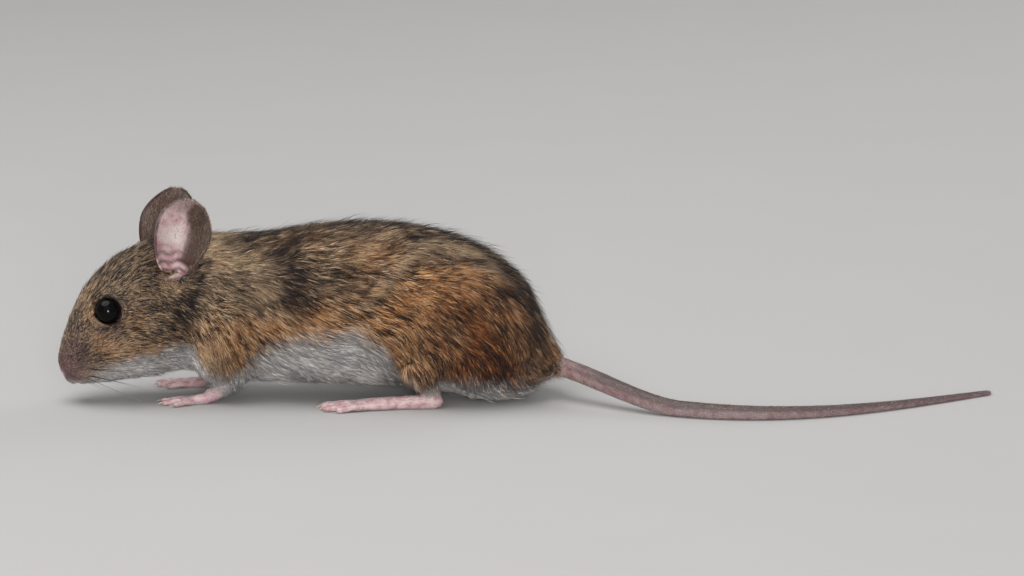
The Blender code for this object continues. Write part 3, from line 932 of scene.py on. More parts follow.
@dataclass(frozen=True)
class Markings:
    """Where the coat is pale, warm and dark for skin and coat alike, with painted shade in folds and light
    on a ridge.
    """

    pale_line: tuple = (
        (-92, 2.6), (-88, 3.2), (-82, 5.8), (-76, 8.4), (-70, 11.2), (-66.5, 12), (-62, 7), (-57, 5),
        (-53, 9.5), (-50, 12.6), (-44, 14.6), (-34, 15), (-28.5, 13.2), (-24.5, 6.5), (-21, 4.8), (-10, 4.6),
        (-1, 4.4), (4, 2.6), (8, 1.5),
    )
    warm: tuple = patches(
        (-57.5, 9.5, 9, 5, 5, 6, 1), (-60, 9.5, 15, 4, 4, 3, 0.4), (-50, 10.5, 15.5, 8, 5, 3.6, 0.7),
        (-36, 11, 18, 12, 5, 4.2, 0.9), (-24.5, 11, 12, 4, 6, 9, 1), (-24, 11, 21, 6, 6, 5, 0.6),
        (-12, 12.5, 20, 12, 6, 7, 0.9), (-82.5, 5, 11, 3.2, 3, 2.6, 0.8), (-75, 7, 9.6, 5, 4, 2.6, 0.6),
        (-77.5, 5.8, 16.5, 2.8, 3, 2.6, 0.55), (-84.5, 3.5, 17.5, 1.8, 2.4, 3, 0.45),
        (-70, 5, 26, 2.2, 2.6, 3, 0.7), (-66, 8, 13, 4, 4, 3.4, 0.35), (-46, 5, 31.5, 7, 4, 3, 0.35),
        (-31, 7, 29, 7, 5, 4, 0.6), (-15.5, 10.5, 25, 9, 6, 4, 0.8), (4.5, 4, 9, 3.5, 5, 5, 0.7),
        (-21.5, 11, 8, 4.5, 6, 6, 0.9),
    )
    rust: tuple = patches(
        (-10, 13.5, 13, 12, 6, 9, 0.85), (-12, 13, 20.5, 12, 6, 6, 0.45), (-4, 12, 6.5, 9, 7, 4.6, 1),
        (3, 5, 7, 4, 6, 6, 0.4), (-22, 11, 8, 4, 5, 7, -0.25),
    )
    rosy: tuple = patches(
        (-89.5, 1.5, 6.5, 2.6, 2.6, 3.4, 0.85), (-87.5, 3, 10, 2.6, 2.4, 3.4, 0.65),
        (-82, 5, 14.2, 3, 3, 1.6, 0.35), (-85, 3.6, 6, 4.2, 2.6, 2.4, 0.85),
    )
    # painted shade: a dark band along the groove at the haunch's edge, where the skin is also drawn in
    shaded_haunch_groove: Streak = Streak(
        2.2, 1.25, ((-22, 33.6), (-14.5, 31.4), (-7, 27.2), (-1.5, 21.8), (1.6, 15.8), (3.8, 10)))
    # painted shade in the folds of the neck and jaw, where the skin is also drawn in
    neck_fold: Streak = Streak(0.9, 0.9, ((-62, 27), (-64, 23.5), (-65.5, 19.5)))
    shaded_jaw_fold: Streak = Streak(1, 0.7, ((-68.5, 18), (-66, 14), (-65, 11)))
    # painted highlight: a buff band along the haunch's crest, which the skin also pushes out
    lit_haunch_crest: Streak = Streak(0.9, 0.75, ((-31.5, 20.5), (-25.5, 27.5), (-19, 31), (-12, 29.2), (-7, 25.6)))
    dark: tuple = patches(
        (-54, 0, 33, 12, 7, 6.5, 0.8), (-34, 0, 34, 14, 7.5, 6, 0.75), (-14, 0, 31, 12, 6.5, 5.5, 0.95),
        (0, 0, 24, 7, 6, 7.5, 1), (-52, 10, 23, 9, 4, 4, 0.6), (-37, 10.5, 25, 9, 4, 3.4, 0.6),
        (-76, 0, 29, 7, 5, 5, 0.7), (-83, 0, 23.5, 4, 4, 5, 0.35), (-87.5, 0, 12, 2.4, 2.4, 7, 0.8),
        (-88, 2.2, 9.5, 2.2, 2.4, 2.6, 0.6), (-67.5, 9, 18.5, 3.5, 3, 3, 0.55),
        (-6, 8, 26.5, 3.6, 6, 3.6, 0.7),
    ) + (
        shaded_haunch_groove,
        # painted shade at the front of the haunch's groove
        Streak(1.1, 0.8, ((-27.5, 25), (-23.5, 28), (-19, 28.6))),
        neck_fold,
        Streak(1.1, 0.5, ((-60.5, 31), (-57, 29), (-54.5, 25))),
        shaded_jaw_fold,
        Streak(1.6, 0.4, ((-22, 20), (-14, 19), (-6, 15))),
        Streak(2.4, 1, ((-47.5, 31), (-46.5, 25), (-45, 19))),
        Streak(1.2, 0.25, ((-19, 8.5), (-14, 8.5), (-8, 8))),
    )
    buff: tuple = (
        lit_haunch_crest,
        Streak(1.1, 0.6, ((-60.5, 28), (-62, 24), (-63.5, 20))),
        Streak(1.4, 0.4, ((-52, 32.5), (-40, 33.5), (-28, 33))),
        Streak(0.9, 0.35, ((-59, 23), (-53, 19.5), (-47, 18.5))),
        Streak(2.2, 0.55, ((-61.5, 29), (-56, 26.5), (-51, 24))),
    ) + patches(
        # the second patch is painted light: it lightens the foot of the arm, where shade falls
        (-61, 4.5, 31, 3.6, 5, 3.6, 0.5), (-60.5, 9, 9, 4, 4, 4.6, 0.72), (-7, 8, 26, 3, 6, 2.6, -0.6),
        # the second patch is painted light: it lightens the rump's underside, where shade falls
        (-23, 11, 9, 3, 5, 5, 0.2), (1.5, 7, 7, 4, 5, 3.5, 0.3), (-84.5, 3.8, 6, 3.6, 2.4, 2, 0.75),
    )

    def at(self, points: Array, normals: Array) -> dict[str, Array]:
        """The markings at points of the straight mouse, each from 0 to 1.

        Args:
            points: places on the straight mouse.
            normals: outward directions there.

        Returns:
            Arrays named pale, warm, rust, rosy, dark and buff.
        """
        x, y, z = points.T
        edge = np.interp(x, *np.array(self.pale_line).T) + Ripple(7.0, 5).at(points) * 0.7
        fade = np.interp(x, (-56.0, -46.0), (4.0, 6.0))
        below = (edge - z - 2.8 * normals[:, 2]) / fade
        inner = rise(np.abs(y), 5.5, -3.0) * rise(z, 10.0, -4.0)
        inner *= rise(x, -74.0, 5.0) * rise(x, 0.0, -4.0)
        pale = np.clip(smoothstep(below + 0.5) + inner, 0, 1)
        patchy = 1.0 + 0.25 * Ripple(5.0, 6).at(points)
        marks = {"pale": pale}
        for name in ("warm", "rust", "rosy", "dark", "buff"):
            marks[name] = np.clip(sum(mark.at(points) for mark in getattr(self, name)) * patchy, 0, 1)
        marks["dark"] *= 1 - 0.8 * marks["buff"]
        marks["warm"] *= 1 - 0.55 * marks["dark"]
        for name in ("dark", "rosy"):
            marks[name] *= 1 - pale
        return marks

    def relief(self, points: Array) -> Array:
        """How far the skin is drawn in at points, along the coat's ridges and folds."""
        fold = self.shaded_haunch_groove.at(points) + 0.8 * self.neck_fold.at(points)
        return 0.45 * (fold + 0.7 * self.shaded_jaw_fold.at(points)) - 0.55 * self.lit_haunch_crest.at(points)


# ---- ears


@dataclass(frozen=True)
class Ear:
    """A thin scooped ear on the straight mouse, with a rolled rim and folds over its canal."""

    name: str
    root: tuple[float, float, float]
    up: tuple[float, float, float]
    opens: tuple[float, float, float]
    length: float = 16.0
    wall: float = 0.40
    root_radius: float = 2.5
    tip_radius: float = 9.2
    root_wrap: float = math.radians(128)
    tip_wrap: float = math.radians(40)
    rounds_from: float = 0.6
    tip_curl: float = 1.5
    top: float = 0.994  # the sheet stops just short of its tip, where it would close to a point
    canal_at: tuple = (-3.0, 2.4, 1.9)
    canal_radius: float = 3.1
    canal_height: float = 3.4
    canal_depth: float = 2.6
    fold_height: float = 0.42
    columns: int = 28
    rows: int = 26
    net: int = 41  # points each way of the net that finds the nearest place on the ear
    batch: int = 20000

    def axes(self) -> tuple[Array, Array, Array]:
        """The ear's directions across, towards its opening and up.

        Returns:
            Three unit vectors.
        """
        up = unit(np.array(self.up))
        opens = np.array(self.opens)
        opens = unit(opens - up * np.dot(opens, up))
        return unit(np.cross(opens, up)), opens, up

    def rearwards(self, across: Array) -> Array:
        """Places across the ear, counted towards its rear edge."""
        return across * (1.0 if self.axes()[0][0] > 0 else -1.0)

    def sheet(self, across: Array, along: Array) -> Array:
        """Points of the ear's middle sheet on the straight mouse.

        Args:
            across: -1 to 1 from one edge to the other.
            along: 0 to 1 from root to tip.

        Returns:
            One row for each point.
        """
        radius = self.root_radius + (self.tip_radius - self.root_radius) * along**0.8
        wrap = self.root_wrap * (1 - along) + self.tip_wrap * along
        beyond = np.clip((along - self.rounds_from) / (1 - self.rounds_from), 0, 1)
        angle = wrap * np.sqrt(1 - beyond**2) * across
        rim = np.clip((np.abs(across) - 0.86) / 0.14, 0, 1) * rise(along, 0.05, 0.2)
        folds = 0.32 * np.sin(along * 42.0 + across * 2.0) * bump(along, 0.16, 0.11)
        folds *= bump(across, 0.0, 0.55)
        ribs = 0.10 * np.sin(across * 9.0 + 1.0) * np.sin(math.pi * along)
        sideways = radius * np.sin(angle)
        curl = self.tip_curl * beyond**2
        forwards = radius * (1.0 - np.cos(angle)) + curl - 0.35 * rim**2 + folds + ribs
        side, opens, up = self.axes()
        local = sideways[:, None] * side + forwards[:, None] * opens + (self.length * along)[:, None] * up
        return local + self.root

    def build(self, posture: Posture) -> Object:
        """The closed ear, in its place in the frame.

        Args:
            posture: the way into the frame.

        Returns:
            The new object.
        """
        obj = grid(self.name, self.columns, self.rows, 2.0)
        flat = coordinates(obj) * MM
        from_tip = (1.0 - flat[:, 1]) / 2
        move_vertices(obj, posture.turned(self.sheet(flat[:, 0], self.top * (1.0 - from_tip**1.6))))
        apply_modifier(obj, "SOLIDIFY", thickness=self.wall * MM, offset=0.0, use_even_offset=False)
        face_outwards(obj)
        apply_modifier(obj, "SUBSURF", levels=1, render_levels=1)
        return obj

    def canal(self, points: Array) -> Array:
        """How far points of the straight mouse lie in the hollow at the ear's foot, 0 to 1.

        Args:
            points: rows of places.

        Returns:
            One value for each.
        """
        up = self.axes()[2]
        outwards = math.copysign(1.0, self.root[1])
        away = points - self.root - np.array(self.canal_at) * (1.0, outwards, 1.0)
        tall = away @ up
        wide = np.linalg.norm(away - tall[:, None] * up, axis=1)
        return np.exp(-((wide / self.canal_radius) ** 2 + (tall / self.canal_height) ** 2) ** 1.5)

    def folds(self, points: Array) -> Array:
        """Ridges across the hollow, 0 to 1."""
        return 0.5 + 0.5 * np.sin(points[:, 2] * 3.6 + 1.1 * np.sin(points[:, 0] * 1.7))

    def nearest(self, points: Array) -> tuple[Array, Array, Array, Array]:
        """Where points of the straight mouse lie against the ear.

        Args:
            points: places on the straight mouse.

        Returns:
            Distance to the sheet, across, along and the height over it on the open side.
        """
        across, along = np.meshgrid(np.linspace(-1, 1, self.net), np.linspace(0, self.top, self.net))
        across, along = across.ravel(), along.ravel()
        net = self.sheet(across, along)
        rows = net.reshape(self.net, self.net, 3)
        face = np.cross(np.gradient(rows, axis=1), np.gradient(rows, axis=0)).reshape(-1, 3)
        face = unit(face) * np.sign(np.median(face @ self.axes()[1]))
        close, which = np.empty(len(points)), np.empty(len(points), int)
        for start in range(0, len(points), self.batch):
            some = slice(start, start + self.batch)
            gaps = ((points[some, None, :] - net[None, :, :]) ** 2).sum(axis=2)
            which[some] = gaps.argmin(axis=1)
            close[some] = np.sqrt(gaps.min(axis=1))
        height = np.sum((points - net[which]) * face[which], axis=1)
        return close, across[which], along[which], height


EARS = (Ear("ear_shell_left", (-67.0, -5.2, 25.0), (0.31, -0.28, 0.91), (-0.62, -0.78, 0.0)),
        Ear("ear_shell_right", (-66.2, 5.2, 24.4), (0.06, 0.28, 0.95), (-0.75, 0.66, 0.0)))


# ---- feet and tail


@dataclass(frozen=True)
class Toe:
    """A toe: where it leaves the foot as shares of its length and half width, its angle and length."""

    along: float
    across: float
    spread: float
    length: float
    radius: float


@dataclass(frozen=True)
class Paw:
    """A foot along -X from its heel, with arched toes and pads."""

    name: str
    node: str
    side: int
    length: float
    heel_half: float
    ball_half: float
    ball_at: float
    instep: float
    toe_out: float
    heel_inset: tuple[float, float]
    ankle: tuple
    toes: tuple[Toe, ...]
    voxel: float = 0.23
    # rows along a toe: the share of its length, and the lift and width as shares of its radius
    arch: tuple = ((-0.25, 0.50, 0.95), (0.10, 0.66, 1.02), (0.30, 0.70, 0.90), (0.46, 0.50, 0.98),
                   (0.60, 0.26, 0.90), (0.74, 0.24, 1.04), (0.84, 0.22, 0.80), (0.90, 0.18, 0.30))
    # rows along the sole: the share of its length, and width and height as shares of its heel's or ball's
    heel_rows: tuple = ((-0.03, 0.55, 0.62), (0.02, 0.92, 0.98), (0.12, 1.00, 1.00), (0.30, 0.94, 0.88))
    ball_rows: tuple = ((0.50, 0.90, 0.80), (0.66, 1.00, 0.68), (0.80, 0.62, 0.50))

    def heel(self) -> Array:
        """The heel on the floor of the frame, found from the solid's box.

        Returns:
            A point in millimetres.
        """
        low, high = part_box(self.node)
        inner = high.y if self.side < 0 else low.y
        back, aside = self.heel_inset
        return np.array((high.x / MM - back, inner / MM + self.side * aside, 0.0))

    def placed(self, points: Array) -> Array:
        """Points of a foot at the origin, moved to the heel and turned outwards."""
        x, y = pivoted(points[:, 0], points[:, 1], -self.toe_out * self.side)
        return np.column_stack((x, y, points[:, 2])) + self.heel()

    def toe_path(self, toe: Toe) -> Array:
        """Rows of x, y, z, half width and half height along a toe, before it is placed.

        Args:
            toe: one of the foot's toes.

        Returns:
            One row for each step of its arch.
        """
        root = np.array((-self.length * toe.along, self.ball_half * toe.across, 0.0))
        spread = math.radians(-toe.spread)
        heading = np.array((-math.cos(spread), -math.sin(spread), 0.0))
        rows = []
        for along, lift, width in self.arch:
            point = root + heading * toe.length * along
            half = toe.radius * width
            rows.append((point[0], point[1], toe.radius * (0.80 + lift), half, half))
        return np.array(rows)

    def sole_path(self) -> Array:
        """Rows along the sole from heel to ball.

        Returns:
            Rows of x, y, z, half width and half height.
        """
        rows = [(at, self.heel_half * half, self.instep * up / 2) for at, half, up in self.heel_rows]
        rows += [(self.ball_at * at / 0.66, self.ball_half * half, self.instep * up / 2)
                 for at, half, up in self.ball_rows]
        return np.array([(-self.length * at, 0.0, up - 0.1, half, up) for at, half, up in sorted(rows)])

    def build(self) -> Object:
        """The closed foot, in its place.

        Returns:
            The new object.
        """
        shells = [limb("sole", self.sole_path(), 24, 40), limb("ankle", self.ankle, 20, 24)]
        for toe in self.toes:
            shells.append(limb("toe", self.toe_path(toe), 14, 36))
            tip = self.toe_path(toe)[5]
            pad = tip[3] * 0.86
            rows = [(tip[0] + step * pad, tip[1], pad * 0.8, pad * wide, pad * high)
                    for step, wide, high in ((-1, 0.6, 0.6), (0, 1, 0.75), (1, 0.6, 0.6))]
            shells.append(limb("pad", rows, 12, 10))
        foot = joined(shells, self.name)
        remesh(foot, self.voxel, 2)
        points = coordinates(foot)
        points[:, 2] = np.maximum(points[:, 2], 0.0)
        move_vertices(foot, self.placed(points))
        return foot


HIND_PAW = (23.0, 1.5, 2.3, 0.66, 2.9, math.radians(4), (0.94, 2.30), (
    (-0.8, 0, 0.6, 1.2, 1.4), (-1.4, 0, 2.6, 1.4, 1.7), (-2.1, 0, 4.4, 1.5, 1.9), (-3.4, 0, 6.8, 1.9, 2.4),
    (-5.6, 0, 10.0, 2.2, 2.8),
), (Toe(0.66, -0.86, -14, 5.6, 0.62), Toe(0.71, -0.50, -6, 6.9, 0.66), Toe(0.72, 0.0, 0, 7.2, 0.68),
    Toe(0.71, 0.50, 6, 6.8, 0.66), Toe(0.58, 0.90, 17, 4.6, 0.60)))
FORE_PAW = (10.0, 1.25, 1.9, 0.46, 2.1, math.radians(7), (1.70, 2.21), (
    (-1.6, 0, 1.0, 1.2, 0.9), (-0.2, 0, 1.5, 1.35, 1.3), (1.6, 0, 2.6, 1.5, 1.6), (3.2, 0, 3.9, 1.8, 2.0),
    (4.6, 0, 6.2, 2.0, 2.2),
), (Toe(0.42, -0.80, -24, 4.0, 0.52), Toe(0.54, -0.30, -8, 4.7, 0.56), Toe(0.54, 0.30, 8, 4.7, 0.56),
    Toe(0.42, 0.80, 24, 4.0, 0.52)))
HIND_PAWS = tuple(Paw(f"hind_paw_{word}", f"hind_foot_{word}", side, *HIND_PAW) for side, word in SIDES)
FORE_PAWS = tuple(Paw(f"fore_foot_{word}", f"fore_paw_{word}", side, *FORE_PAW) for side, word in SIDES)
PAWS = HIND_PAWS + FORE_PAWS


@dataclass(frozen=True)
class Tail:
    """A ringed tail that drops to the floor, swings to the left and comes back."""

    start: tuple[float, float, float] = (4.6, 0.0, 6.4)
    reach: float = 86.4
    swing: float = 21.0
    down_at: float = 0.30
    sunk: float = 0.12
    root_radius: float = 1.9
    tip_radius: float = 0.55
    scale_rings: int = 165
    groove: float = 0.055
    sides: int = 12
    rings: int = 500
    inside_rump: float = 0.05

    def radius(self, t: Array) -> Array:
        """Full in its first half, then tapering to a blunt tip."""
        full = self.root_radius * (1.0 - 0.16 * np.clip(t / 0.3, None, 1.0))
        taper = np.clip((t - 0.30) / 0.70, 0, None)
        return full - (self.root_radius * 0.84 - self.tip_radius) * taper**1.15

    def line(self, t: Array) -> Array:
        """The tail's middle on the straight mouse, from root to tip.

        Args:
            t: shares of the tail's length.

        Returns:
            One row for each.
        """
        drop = smoothstep(t / self.down_at)
        x = self.start[0] + self.reach * t
        y = self.start[1] - self.swing * np.sin(math.pi * np.clip(t, 0, None) ** 0.88)
        z = self.start[2] * (1.0 - drop) + (self.radius(t) - self.sunk) * drop
        return np.column_stack((x, y, z))

    def share(self, points: Array) -> Array:
        """How far along the tail points of the straight mouse lie."""
        return (points[:, 0] - self.start[0]) / self.reach

    def off_line(self, points: Array) -> Array:
        """How far points of the straight mouse lie from the tail's middle."""
        return np.linalg.norm(points - self.line(np.clip(self.share(points), 0, 1)), axis=1)

    def ring_wave(self, t: Array) -> Array:
        """1 on a ring of scales and 0 in the groove between two."""
        return np.abs(np.sin(math.pi * self.scale_rings * t)) ** 0.7

    def build(self, posture: Posture) -> Object:
        """The closed tail, in its place in the frame.

        Args:
            posture: the way into the frame.

        Returns:
            The new object.
        """
        steps = np.linspace(-self.inside_rump, 1.0, self.rings + 1)
        line = self.line(steps)
        side, above = crossways(line)
        cap = rounded((1.0 - steps) * self.reach / (2.2 * self.tip_radius))
        size = (self.radius(steps) - self.groove * (1 - self.ring_wave(steps))) * cap
        size[0] = 0.0

        def place(share: Array, angle: Array) -> Array:
            """Points of the tail's wall.

            Args:
                share: 0 to 1 from root to tip.
                angle: angles round the tail.

            Returns:
                One row for each.
            """
            k = np.round(share * self.rings).astype(int)
            wide = side[k] * np.cos(angle)[:, None] + above[k] * np.sin(angle)[:, None]
            points = line[k] + wide * size[k][:, None]
            points[:, 2] = np.maximum(points[:, 2], 0.0)
            return points + posture.origin

        return spun("tail_skin", self.sides, self.rings, place)


@dataclass(frozen=True)
class Eye:
    """One eyeball and the lids that hold it, on the straight mouse's right half."""

    posture: Posture
    axis: tuple[float, float, float] = (-0.12, 0.98, 0.10)
    radius: float = 2.6
    opening: float = 2.35
    lid: float = 0.16
    blend: float = 1.9
    edge: float = 0.35  # the lid's ridge lies this far outside the opening

    def frame_of(self, side: int) -> tuple[Array, Array]:
        """Centre and outward axis on one side, -1 for left."""
        low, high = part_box("eye_left" if side < 0 else "eye_right")
        centre = self.posture.straight(np.array((low + high) / 2)[None, :] / MM)[0]
        return centre, unit(np.array(self.axis) * (1.0, side, 1.0))

    def measure(self, points: Array, side: int) -> tuple[Array, Array]:
        """Distance from the eye's axis, and height along it over the eye's centre.

        Args:
            points: rows on the straight mouse.
            side: -1 for the left eye, 1 for the right.

        Returns:
            Two values for each point.
        """
        centre, axis = self.frame_of(side)
        away = points - centre
        height = away @ axis
        return np.linalg.norm(away - height[:, None] * axis, axis=1), height

    def lidded(self, points: Array, side: int) -> Array:
        """Skin points near the eye, drawn into a socket with a raised lid round its edge.

        Args:
            points: rows on the straight mouse.
            side: -1 for the left eye, 1 for the right.

        Returns:
            The points where they now lie.
        """
        off_axis, height = self.measure(points, side)
        beyond = off_axis - self.opening
        ball_height = np.sqrt(np.clip(self.radius**2 - off_axis**2, 0, None))
        rim = math.sqrt(self.radius**2 - self.opening**2)
        lid = rim + self.lid * bump(beyond, self.edge, 0.45) - 0.10 * bump(beyond, 1.15, 0.28)
        fade = rise(beyond, self.edge, self.blend)
        wanted = np.where(off_axis < self.opening, ball_height - 0.5, lid * (1 - fade) + height * fade)
        near = (off_axis < self.opening + self.edge + self.blend) & (height > -0.4)
        return points + np.where(near, wanted - height, 0.0)[:, None] * self.frame_of(side)[1]

    def build(self, side: int, word: str) -> Object:
        """The eyeball on one side.

        Args:
            side: -1 for left, 1 for right.
            word: the side's name.

        Returns:
            The piece.
        """
        centre = self.posture.turned(self.frame_of(side)[0][None, :])[0]
        eyeball = ball(f"eyeball_{word}", 64, 40)
        move_vertices(eyeball, coordinates(eyeball) * MM * self.radius + centre)
        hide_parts(f"eye_{word}")
        return finished(eyeball, EyeFinish().material())


# ---- the skin


COAT_MARKS = ("pale", "warm", "rust", "dark", "buff", "rosy")
SKIN_MARKS = ("bare", "dusk", "glow", "crease", "slate", "ear_inside", "on_ear", "on_tail", "on_foot",
              "hollow")


class Marks(dict):
    """Numbers for every point of the skin, by name."""

    def add(self, name: str, values: Array) -> None:
        """Raises the numbers under name to values, where these are higher."""
        self[name] = np.maximum(self[name], values)


@dataclass(frozen=True)
class Skin:
    """The one skin over all the flesh, inside the solids by the depth of the coat."""

    posture: Posture
    comb: Comb
    markings: Markings
    eye: Eye
    tail: Tail
    voxel: float = 0.64
    half_gap: float = 0.22
    knee_over_heel: tuple = (-4.0, 0.0, 8.2)
    knee_reach: float = 4.6
    face_ends: float = -73.0  # the face's finer mesh, and the nose's, lie in front of these
    nose_ends: float = -87.0
    eye_zone: float = 4.2  # the finer mesh round an eye ends this far from its axis
    foot_margin: float = 0.4  # how far a foot's skin may stand past its solid
    flesh: tuple = ("head", "nose", "neck", "trunk", "thigh_left", "thigh_right", "upper_arm_left",
                    "upper_arm_right", "shank_left", "shank_right", "forearm_left", "forearm_right")
    nostrils: tuple = patches(
        (-90.6, 0.95, 5.3, 0.55, 0.42, 0.34, 0.75), (-90.2, 1.45, 5.7, 0.4, 0.4, 0.26, 0.35),
    )
    lips: tuple = patches(
        (-90.8, 0, 4.2, 0.9, 0.16, 1.3, 0.3), (-90.6, 0.5, 6.5, 0.9, 0.7, 0.5, -0.16),
        (-87.2, 2.6, 5.9, 1.8, 1.2, 1.3, -0.28),
    )

    def flesh_copy(self, node: str) -> Object:
        """A merged copy of a solid, grown to close the thin gaps between solids.

        Args:
            node: the solid's name.

        Returns:
            The copy.
        """
        twin = linked(f"{node}_flesh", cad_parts[node].data.copy())
        with editing(twin):
            bpy.ops.mesh.remove_doubles(threshold=1e-6)
            bpy.ops.mesh.normals_make_consistent(inside=False)
        move_vertices(twin, coordinates(twin) + vertex_normals(twin) * self.half_gap)
        return twin

    def refine(self, obj: Object, chosen: Callable[[Array], Array]) -> None:
        """Splits the faces whose middles are chosen on the straight mouse.

        Args:
            obj: the object to split.
            chosen: tells for rows of middles which are chosen.
        """
        middles = self.posture.straight(read(obj.data.polygons, "center") / MM)
        with editing(obj, "DESELECT"):
            bpy.ops.object.mode_set(mode="OBJECT")
            obj.data.polygons.foreach_set("select", chosen(middles))
            bpy.ops.object.mode_set(mode="EDIT")
            bpy.ops.mesh.subdivide(number_cuts=1, smoothness=0.0)

    def body(self) -> Object:
        """Head, trunk and legs in one closed surface at the foot of the coat.

        Returns:
            The new object.
        """
        body = joined([self.flesh_copy(node) for node in self.flesh], "skin")
        remesh(body, self.voxel, 10)
        depth = self.comb.depth(self.posture.straight(coordinates(body))) + self.half_gap
        move_vertices(body, coordinates(body) - vertex_normals(body) * depth[:, None])
        smooth(body, 4)
        self.soften_knees(body)
        self.refine(body, lambda middles: middles[:, 0] < self.face_ends)
        self.refine(body, self.fine_parts)
        smooth(body, 2)
        self.sculpt(body)
        return body

    def soften_knees(self, body: Object) -> None:
        """Runs the thighs into the shanks without a fold.

        Args:
            body: the surface of head, trunk and legs.
        """
        points = coordinates(body)
        group = body.vertex_groups.new(name="knees")
        for paw in HIND_PAWS:
            away = np.linalg.norm(points - paw.heel() - self.knee_over_heel, axis=1)
            share = smoothstep(1.4 - away / self.knee_reach)
            for k in np.flatnonzero(share > 0.0):
                group.add([int(k)], float(share[k]), "REPLACE")
        smooth(body, 60, vertex_group=group.name)
        body.vertex_groups.clear()

    def fine_parts(self, points: Array) -> Array:
        """Whether points are near an eye or the nose.

        Args:
            points: rows on the straight mouse.

        Returns:
            A yes or no for each.
        """
        chosen = points[:, 0] < self.nose_ends
        for side, _ in SIDES:
            off_axis, height = self.eye.measure(points, side)
            chosen |= (off_axis < self.eye_zone) & (height > -0.8)
        return chosen

    def sculpt(self, body: Object) -> None:
        """Forms nostrils, lip and lids by moving the skin.

        Args:
            body: the surface of head, trunk and legs.
        """
        points, normals, _ = self.posture.straight_skin(body)
        pull = sum(dent.at(points) for dent in self.nostrils + self.lips)
        pull = pull + self.mouth(points) + self.markings.relief(points)
        for ear in EARS:
            canal = ear.canal(points)
            pull += canal * ear.canal_depth - ear.folds(points) * rise(canal, 0.2, 0.3) * ear.fold_height
        points = points - normals * pull[:, None]
        for side, _ in SIDES:
            points = self.eye.lidded(points, side)
        move_vertices(body, self.posture.turned(points))

    def mouth(self, points: Array) -> Array:
        """The groove of the closed mouth, from under the nose back along each lip."""
        line = 3.2 + 0.10 * (points[:, 0] + 90.0) + 0.25 * np.abs(points[:, 1])
        return 0.35 * bump(points[:, 2], line, 0.22) * rise(points[:, 0], -81.5, -2.0)

    def build(self) -> Object:
        """The whole skin, marked, unwrapped and dressed.

        Returns:
            The piece.
        """
        skin = self.body()
        for ear in EARS:
            united(skin, ear.build(self.posture))
        for paw in PAWS:
            united(skin, paw.build())
        united(skin, self.tail.build(self.posture))
        select_only(skin)
        bpy.ops.object.shade_smooth()
        self.mark(skin)
        skin.data.uv_layers.new(name=UV_MAP)
        with editing(skin):
            bpy.ops.uv.smart_project(angle_limit=math.radians(66), island_margin=0.002)
        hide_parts(*self.flesh, "ear_left", "ear_right", *(paw.node for paw in PAWS),
                    *(f"tail_{k}" for k in range(1, 6)))
        return finished(skin, SkinFinish().material())

    def mark(self, skin: Object) -> None:
        """Stores the markings and what is bare on the skin.

        Args:
            skin: the whole skin.
        """
        points, normals, _ = self.posture.straight_skin(skin)
        marks = Marks(self.markings.at(points, normals))
        marks.update((name, np.zeros(len(points))) for name in SKIN_MARKS)
        for ear in EARS:
            self.mark_ear(ear, points, marks)
        self.mark_feet(coordinates(skin), points, marks)
        self.mark_tail(points, marks)
        self.mark_face(points, marks)
        for name, values in marks.items():
            set_attribute(skin.data, name, values)

    def mark_ear(self, ear: Ear, points: Array, marks: Marks) -> None:
        """Marks an ear's bare skin and canal, its brown back and rear flange, painted light through it, and
        painted shade under the flange, along its rim and in its canal.

        Args:
            ear: the ear.
            points: the skin's vertices on the straight mouse.
            marks: takes the marks.
        """
        close, across, along, height = ear.nearest(points)
        rear = ear.rearwards(across)
        on_ear = rise(close, 0.75, -0.3) * rise(along, 0.10, 0.08)
        inside = on_ear * (height > 0)
        flange = smoothstep((rear + (0.25 + 0.30 * rise(along, 0.5, 0.35))) / 0.26)
        flange = np.maximum(flange, 0.50 * rise(along, 0.62, 0.25))
        # painted light: a bright patch inside the ear where light shines through it
        lit = np.exp(-((along - 0.42) / 0.14) ** 2 - ((rear + 0.38) / 0.36) ** 2)
        rim = rise(np.abs(across), 0.85, 0.08) * on_ear
        foot = rise(close, 1.7, -0.5) * rise(along, 0.34, -0.10) * (height > 0.05)
        foot *= 1 - rise(rear, 0.15, 0.2)
        bald = np.maximum(rise(ear.canal(points), 0.15, 0.2), foot)
        marks.add("on_ear", on_ear)
        marks.add("ear_inside", inside)
        marks.add("hollow", bald)
        marks.add("bare", np.maximum(on_ear, bald))
        # brown back and rear flange, partly painted shade under the flange
        marks.add("dusk", on_ear * np.where(height > 0, 0.12 + 0.85 * flange, 0.95))
        marks.add("glow", inside * (1 - 0.7 * flange) * lit)
        # painted shade along the ear's rolled rim, under its rear flange and between the folds of its canal
        marks.add("crease", (0.45 + 0.40 * (rear < 0)) * rim)
        marks.add("crease", 0.25 * inside * flange)
        marks.add("crease", 0.75 * bald * (1 - ear.folds(points)) ** 2)

    def mark_feet(self, placed: Array, points: Array, marks: Marks) -> None:
        """Marks the feet as bare, up to the wrists and ankles.

        Args:
            placed: the skin's vertices in the frame.
            points: the same on the straight mouse.
            marks: takes the marks.
        """
        for paw in PAWS:
            low, high = (np.array(corner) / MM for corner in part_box(paw.node))
            inside = np.all((placed > low - self.foot_margin) & (placed < high + self.foot_margin), axis=1)
            marks.add("on_foot", inside * rise(points[:, 2], 3.6, -1.4))
        marks.add("bare", marks["on_foot"])

